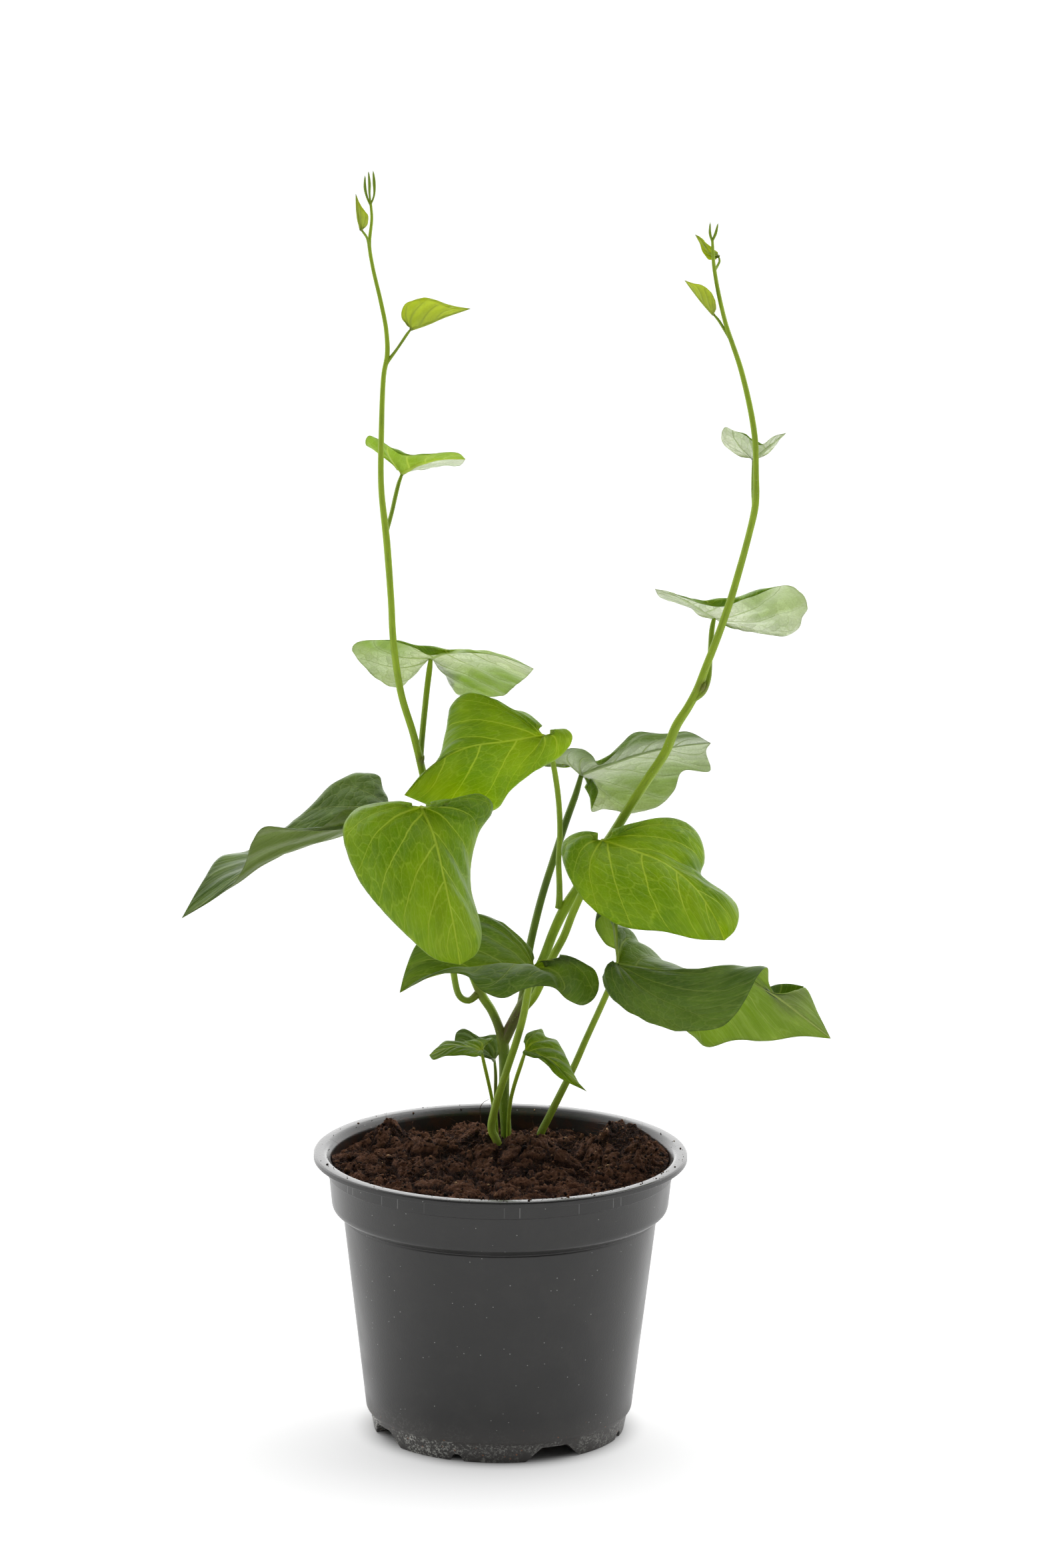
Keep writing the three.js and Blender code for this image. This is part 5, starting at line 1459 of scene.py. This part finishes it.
def scatter_fibres(seats, material):
    """Short bent fibres that stick out of the soil, and three fine root hairs."""
    draw = random.Random(23)
    bm = bmesh.new()
    bmesh.ops.create_grid(bm, x_segments=FIBRE_SIDES, y_segments=FIBRE_STEPS, size=1)
    number = multiply(bm, FIBRE_COUNT)
    plans = []
    for _ in range(FIBRE_COUNT):
        place, lean = draw.choice(seats)
        heading = Vector((draw.gauss(0, 1), draw.gauss(0, 1), draw.gauss(0.1, 0.35)))
        length = FIBRE_LEAST + FIBRE_RANGE * draw.random() ** 3
        if math.hypot(place.x, place.y) > MOUTH_RADIUS - length:
            heading = Vector((-place.x, -place.y, 4)) + 20 * heading
        heading = (heading.normalized() + 0.35 * lean).normalized()
        curl = Vector((draw.gauss(0, 1), draw.gauss(0, 1), draw.gauss(-0.4, 0.5))) * FIBRE_BEND
        radius = FIBRE_RADIUS + FIBRE_RADIUS_RANGE * draw.random() ** 2
        plans.append((place, heading, curl, length, radius))
    for vert in bm.verts:
        place, heading, curl, length, radius = plans[vert[number]]
        share = (vert.co.y + 1) / 2
        turned = (vert.co.x + 1) * math.pi
        middle = place + heading * length * (share - FIBRE_SINK) + curl * length * share * share
        way = heading + 2 * share * curl
        out = Matrix.Rotation(turned, 3, way) @ way.orthogonal().normalized()
        vert.co = middle + out * radius * (1 - 0.6 * share)
    bm.verts.layers.int.remove(number)
    for hair in ROOT_HAIRS:
        add_limb(bm, hair)
    close_tubes(bm)
    finish_piece(bm, "soil_fibres", [material])


def close_tubes(bm):
    """Welds the seam of each tube and closes its two ends."""
    bmesh.ops.remove_doubles(bm, verts=bm.verts, dist=SEAM_WELD)
    bmesh.ops.holes_fill(bm, edges=[edge for edge in bm.edges if edge.is_boundary], sides=0)
    bmesh.ops.recalc_face_normals(bm, faces=bm.faces)


# Stems

def add_limb(bm, stations, deep=COMMON_DEPTH, flare=0.0, tip=0.0):
    """A round limb through stations (x, y, z, radius). Its skin gets the lengthwise and round-about
    measures that streaks follow, and deep, which is how dark its green is."""
    line = Rail(stations)
    rows = max(8, round(line.length / STEM_STEP))
    centres = [line.at(row / rows) for row in range(rows + 1)]
    places = [centre.to_3d() for centre in centres]
    tangents = []
    for row in range(rows + 1):
        ahead, behind = places[min(row + 1, rows)], places[max(row - 1, 0)]
        tangents.append((ahead - behind).normalized())
    side = tangents[0].orthogonal().normalized()
    sides = [side]
    for before, after in zip(tangents, tangents[1:]):
        side = before.rotation_difference(after) @ side
        sides.append(side)
    shade, blush = stem_layers(bm)
    skin = bm.loops.layers.uv.get("skin") or bm.loops.layers.uv.new("skin")
    made = bmesh.ops.create_grid(bm, x_segments=STEM_SIDES, y_segments=rows, size=1)["verts"]
    measures = {}
    for vert in made:
        around, row = (vert.co.x + 1) / 2, round((vert.co.y + 1) / 2 * rows)
        way = line.length * row / rows
        radius = centres[row].w * (1 + flare * math.exp(-way / FLARE_WAY))
        if tip and line.length - way < tip:
            radius *= math.sqrt(max(0.02, 1 - (1 - (line.length - way) / tip) ** 2))
        radius *= 1 + RIB_SHARE * math.cos(math.tau * STEM_RIBS * around + way / RIB_TWIST)
        spin = Matrix.Rotation(math.tau * around, 3, tangents[row])
        measures[vert] = (around, way)
        vert.co = places[row] + spin @ sides[row] * radius
        vert[shade] = mix(deep[0], deep[1], smooth(0.4, 1, way / deep[2]))
        vert[blush] = min(1, sum(
            depth * math.exp(-(vert.co - Vector(spot)).length_squared / spread ** 2)
            for spot, spread, depth in BLUSHES
        ))
    for face in once(face for vert in made for face in vert.link_faces):
        for loop in face.loops:
            loop[skin].uv = measures[loop.vert]


def stem_layers(bm):
    layers = bm.verts.layers.float
    return (
        layers.get("deep") or layers.new("deep"),
        layers.get("blush") or layers.new("blush"),
    )


def stalk_stations(name, stations):
    """The stalk, led on into the underside of its leaf."""
    end = Vector(stations[-1][:3])
    junction = Vector(LEAVES[name]["junction"])
    seat = mix(end, junction, 1 - STALK_SINK / (junction - end).length)
    return [*stations, (*seat, stations[-1][3] * STALK_END_SHARE)]


def make_stem(name, stems, stalks, buds, material, nodes):
    """A piece of stems, with the leaf stalks and buds that grow on them."""
    bm = bmesh.new()
    for stem in stems:
        add_limb(bm, STEMS[stem], STEM_DEPTHS[stem])
    for leaf, stations in stalks.items():
        deep = STEM_DEPTHS.get(leaf, COMMON_DEPTH)
        add_limb(bm, stalk_stations(leaf, stations), deep, flare=FLARE_SHARE)
    for stations in buds:
        add_limb(bm, stations, tip=BUD_TIP)
    close_tubes(bm)
    finish_piece(bm, name, [material], nodes)


# Leaves

class Blade:
    """The middle surface of a leaf blade, from its midrib to its left and right edge."""

    def __init__(self, name):
        leaf = LEAVES[name]
        self.junction = Vector(leaf["junction"])
        rib = Rail([leaf["junction"], *leaf["midrib"], leaf["tip"]])
        edges = {-1: Rail([*leaf["left"], leaf["tip"]]), 1: Rail([*leaf["right"], leaf["tip"]])}
        shares = [row / ROWS for row in range(ROWS + 1)]
        self.rib = [rib.at(max(0, (t - FAN_SHARE) / (1 - FAN_SHARE)) ** RIB_EASE) for t in shares]
        self.edges = {side: [edges[side].at(t) for t in shares] for side in edges}
        forward = Vector(leaf["tip"]) - Vector(leaf["junction"])
        self.reach = forward.length
        sideways = edges[1].at(WIDEST_SHARE) - edges[-1].at(WIDEST_SHARE)
        self.up = sideways.cross(forward).normalized()
        self.swell = {-1: Vector(leaf["swell"]["left"]), 1: Vector(leaf["swell"]["right"])}
        self.veins = LEAF_KINDS[name][3]

    def place(self, side, reach, row):
        t = row / ROWS
        point = mix(self.rib[row], self.edges[side][row], reach)
        point = point + self.swell[side] * 4 * reach * (1 - reach) * (1 - t * t)
        wave = math.sin(math.tau * EDGE_WAVES * t + (0 if side < 0 else 2))
        return point + self.up * EDGE_WAVE_SHARE * self.reach * reach * reach * wave * (1 - t)

    def lateral(self, side, reach, row):
        """Counts up along the blade, whole where a side vein runs."""
        bend = VEIN_ARCH * reach ** VEIN_BEND
        return self.veins * (row / ROWS - bend) + (0.5 if side < 0 else 0.12)

    def measures(self, side, reach, row):
        """(lateral, millimetres from the midrib), (millimetres between side veins, and to the edge)."""
        width = (self.edges[side][row] - self.rib[row]).length
        low, high = max(row - 1, 0), min(row + 1, ROWS)
        ahead = mix(self.rib[high], self.edges[side][high], reach)
        behind = mix(self.rib[low], self.edges[side][low], reach)
        gap = (ahead - behind).length / (high - low) * ROWS / self.veins
        return (self.lateral(side, reach, row), reach * width), (gap, (1 - reach) * width)

    def relief(self, side, reach, row):
        """How far the skin stands up between its veins."""
        (lateral, _), (gap, _) = self.measures(side, reach, row)
        quilt = 0.5 - 0.5 * math.cos(math.tau * lateral)
        fade = math.sqrt(4 * reach * (1 - reach)) * (1 - (row / ROWS) ** 4)
        sag = SAG_HEIGHT * noise.noise(self.place(side, reach, row) / SAG_SIZE)
        return (min(QUILT_SHARE * gap, QUILT_MOST) * quilt + sag) * fade


def sheet_share(vert):
    """The side of the midrib, the share of the way out from it and the row, on the flat sheet."""
    side = -1 if vert.co.x < 0 else 1
    return side, abs(vert.co.x) ** COLUMN_EASE, round((vert.co.y + 1) / 2 * ROWS)


def make_blade(name, materials):
    """A leaf blade of two skins, which its sheet's upper and lower face become."""
    blade = Blade(name)
    bm = bmesh.new()
    vein, edge = bm.loops.layers.uv.new("vein"), bm.loops.layers.uv.new("edge")
    floats = bm.verts.layers.float
    for key in ("relief", "margin"):
        floats.new(key)
    relief, margin = floats["relief"], floats["margin"]
    facing = bm.verts.layers.float_vector.new("facing")
    sheet = bmesh.ops.create_grid(bm, x_segments=2 * COLUMNS, y_segments=ROWS, size=1)["verts"]
    for face in bm.faces:
        side = -1 if face.calc_center_median().x < 0 else 1
        face.material_index = 1 if side < 0 else 2
        for loop in face.loops:
            _, reach, row = sheet_share(loop.vert)
            loop[vein].uv, loop[edge].uv = blade.measures(side, reach, row)
    for vert in sheet:
        side, reach, row = sheet_share(vert)
        vert[relief] = blade.relief(side, reach, row)
        vert[margin] = max(reach, row / ROWS) ** 8
        ruffle = reach ** 5 * (1 - row / ROWS)
        place = blade.place(side, reach, row)
        outward = (blade.edges[side][row] - blade.rib[row]).normalized()
        ragged = noise.noise_vector(place / RUFFLE_SIZE)
        lift = blade.up * EDGE_RUFFLE * ragged.x
        vert.co = place + ruffle * (lift - outward * EDGE_NIBBLE * abs(ragged.y))
    bmesh.ops.remove_doubles(bm, verts=bm.verts, dist=BLADE_WELD)
    bm.normal_update()
    for vert in bm.verts:
        vert[facing] = vert.normal * BLADE_THICKNESS * (1 - EDGE_THINNING * vert[margin])
        vert.co += vert.normal * vert[relief] - vert[facing] / 2
    upper = bmesh.ops.extrude_face_region(bm, geom=bm.faces[:])["geom"]
    for vert in of_kind(upper, bmesh.types.BMVert):
        vert.co += vert[facing]
    for face in of_kind(upper, bmesh.types.BMFace):
        face.material_index = 0
    for key in ("relief", "margin"):
        floats.remove(floats[key])
    bm.verts.layers.float_vector.remove(bm.verts.layers.float_vector["facing"])
    raise_midrib(bm, vein, blade)
    finish_piece(bm, name.replace("leaf", "blade"), materials, [name])


def raise_midrib(bm, vein, blade):
    """The midrib stands out below, thickest at the stalk."""
    lifts = {}
    for face in bm.faces:
        if face.material_index:
            for loop in face.loops:
                lifts[loop.vert] = min(loop[vein].uv.y, lifts.get(loop.vert, 9))
    bm.normal_update()
    for vert, ribway in lifts.items():
        share = min(1, (vert.co - blade.junction).length / blade.reach)
        spread = MIDRIB_REACH - MIDRIB_TAPER * share
        height = MIDRIB_HEIGHT * (1 - share) ** 0.7 * math.exp(-(ribway / spread) ** 2)
        vert.co += vert.normal * height


def make_curl(material):
    """The far margin of the long right leaf, which curls up behind its dipped edge."""
    top, low = Rail(CURL["top"]), Rail(CURL["low"])
    bm = bmesh.new()
    vein, edge = bm.loops.layers.uv.new("vein"), bm.loops.layers.uv.new("edge")
    sheet = bmesh.ops.create_grid(bm, x_segments=CURL_COLUMNS, y_segments=CURL_ROWS, size=1)["verts"]
    for vert in sheet:
        along, down = (vert.co.x + 1) / 2, (1 - vert.co.y) / 2
        vert.co = mix(top.at(along), low.at(along), down)
    for face in bm.faces:
        for loop in face.loops:
            across = (loop.vert.co - top.at(0)).length
            loop[vein].uv, loop[edge].uv = (across / CURL_GAP, across), (CURL_GAP, CURL_GAP)
    bm.normal_update()
    front = bmesh.ops.extrude_face_region(bm, geom=bm.faces[:])["geom"]
    for vert in of_kind(front, bmesh.types.BMVert):
        vert.co += Vector((0, -BLADE_THICKNESS / 2, 0))
    bmesh.ops.recalc_face_normals(bm, faces=bm.faces)
    finish_piece(bm, "blade_right_long_curl", [material])


# Camera, floor and light

def set_camera():
    data = bpy.data.cameras.new("camera")
    data.lens = CAMERA_LENS
    data.sensor_width = SENSOR_SIZE
    data.clip_end = VIEW_END * MM
    camera = show("camera", data)
    tilt = Matrix.Rotation(math.radians(90 - CAMERA_PITCH), 4, "X")
    roll = Matrix.Rotation(math.radians(CAMERA_ROLL), 4, "Z")
    camera.matrix_world = Matrix.Translation(Vector(CAMERA_PLACE) * MM) @ tilt @ roll
    bpy.context.scene.camera = camera


def lay_floor():
    """A white floor that glows a little, with a painted shadow under and around the pot's foot, where the
    glow fades out.
    """
    bm = bmesh.new()
    bmesh.ops.create_grid(bm, x_segments=1, y_segments=1, size=FLOOR_SIZE / 2)
    floor = show("floor", make_mesh(bm, "floor"))
    material, tree, shader = start_material("white_floor")
    around = reckon_vector(tree, "LENGTH", object_place(tree))["Value"]
    # Painted shadow: no glow under the pot, full glow beyond its foot
    glow = grey(tree, step(tree, around, PAINTED_SHADOW_START * MM, PAINTED_SHADOW_END * MM))
    feed(tree, shader, {
        "Base Color": FLOOR_COLOUR, "Roughness": 0.9, "Specular IOR Level": 0.1,
        "Emission Color": glow, "Emission Strength": FLOOR_GLOW,
    })
    floor.data.materials.append(material)


def hang_light():
    """One large soft light above and to the right."""
    data = bpy.data.lights.new("soft_top", "AREA")
    data.shape = "DISK"
    data.size = TOP_LIGHT_SIZE
    data.energy = TOP_LIGHT_POWER
    light = show("soft_top", data)
    toward = (Vector(TOP_LIGHT_AIM) - Vector(TOP_LIGHT_PLACE)).to_track_quat("-Z", "Y")
    light.matrix_world = Matrix.Translation(TOP_LIGHT_PLACE) @ toward.to_matrix().to_4x4()


def light_studio():
    """White all round: bright behind, darker in front, and the sides in between."""
    world = bpy.data.worlds.new("studio")
    bpy.context.scene.world = world
    world.use_nodes = True
    tree = world.node_tree
    x, y, _ = split(tree, put(tree, "ShaderNodeTexCoord").outputs["Generated"])
    depth = step(tree, y, -0.75, 0.7, FRONT_LIGHT, BACK_LIGHT)
    sides = reckon(tree, "MULTIPLY_ADD", x, SIDE_LIGHT, depth)
    seen = put(tree, "ShaderNodeLightPath").outputs["Is Camera Ray"]
    strength = put(tree, "ShaderNodeMix", {0: seen, 2: sides, 3: 1.0}).outputs[0]
    feed(tree, tree.nodes["Background"], {"Color": WHITE, "Strength": strength})
    bpy.context.scene.view_settings.view_transform = "Standard"


groups = {"veins": make_vein_group(), "tone": make_blade_tone_group()}
skins = {kind: make_leaf_skin("leaf_" + kind, look, groups) for kind, look in LEAF_LOOKS.items()}
vine_skin = make_stem_skin("vine_skin", VINE_LIGHT, VINE_DARK)
stalk_skin = make_stem_skin("stalk_skin", STALK_LIGHT, STALK_DARK)
soil_look = make_soil_look("coir_soil", SOIL_DARK, SOIL_MIDDLE, SOIL_LIGHT)
crumb_look = make_soil_look("coir_crumbs", SOIL_MIDDLE, CRUMB_LIGHT, FIBRE_LIGHT)
fibre_look = make_soil_look("coir_fibres", SOIL_MIDDLE, SOIL_LIGHT, FIBRE_LIGHT)

make_pot(make_pot_look())
seats = make_soil(soil_look)
scatter_crumbs(seats, [soil_look, crumb_look, make_bark_look()])
scatter_fibres(seats, fibre_look)
make_stem("left_vine", ["left_vine"], LEFT_STALKS, LEFT_BUDS, vine_skin, ["vine_left"])
make_stem("right_vine", ["right_vine"], RIGHT_STALKS, RIGHT_BUDS, vine_skin, ["vine_right"])
for leaf_name, stations in BASE_STALKS.items():
    place = leaf_name.removeprefix("leaf_")
    stalks = {leaf_name: stations}
    make_stem(f"petiole_{place}", [], stalks, [], stalk_skin, [f"stalk_{place}"])
for leaf_name in LEAVES:
    make_blade(leaf_name, [skins[kind] for kind in LEAF_KINDS[leaf_name][:3]])
make_curl(skins["deep"])

set_camera()
lay_floor()
hang_light()
light_studio()
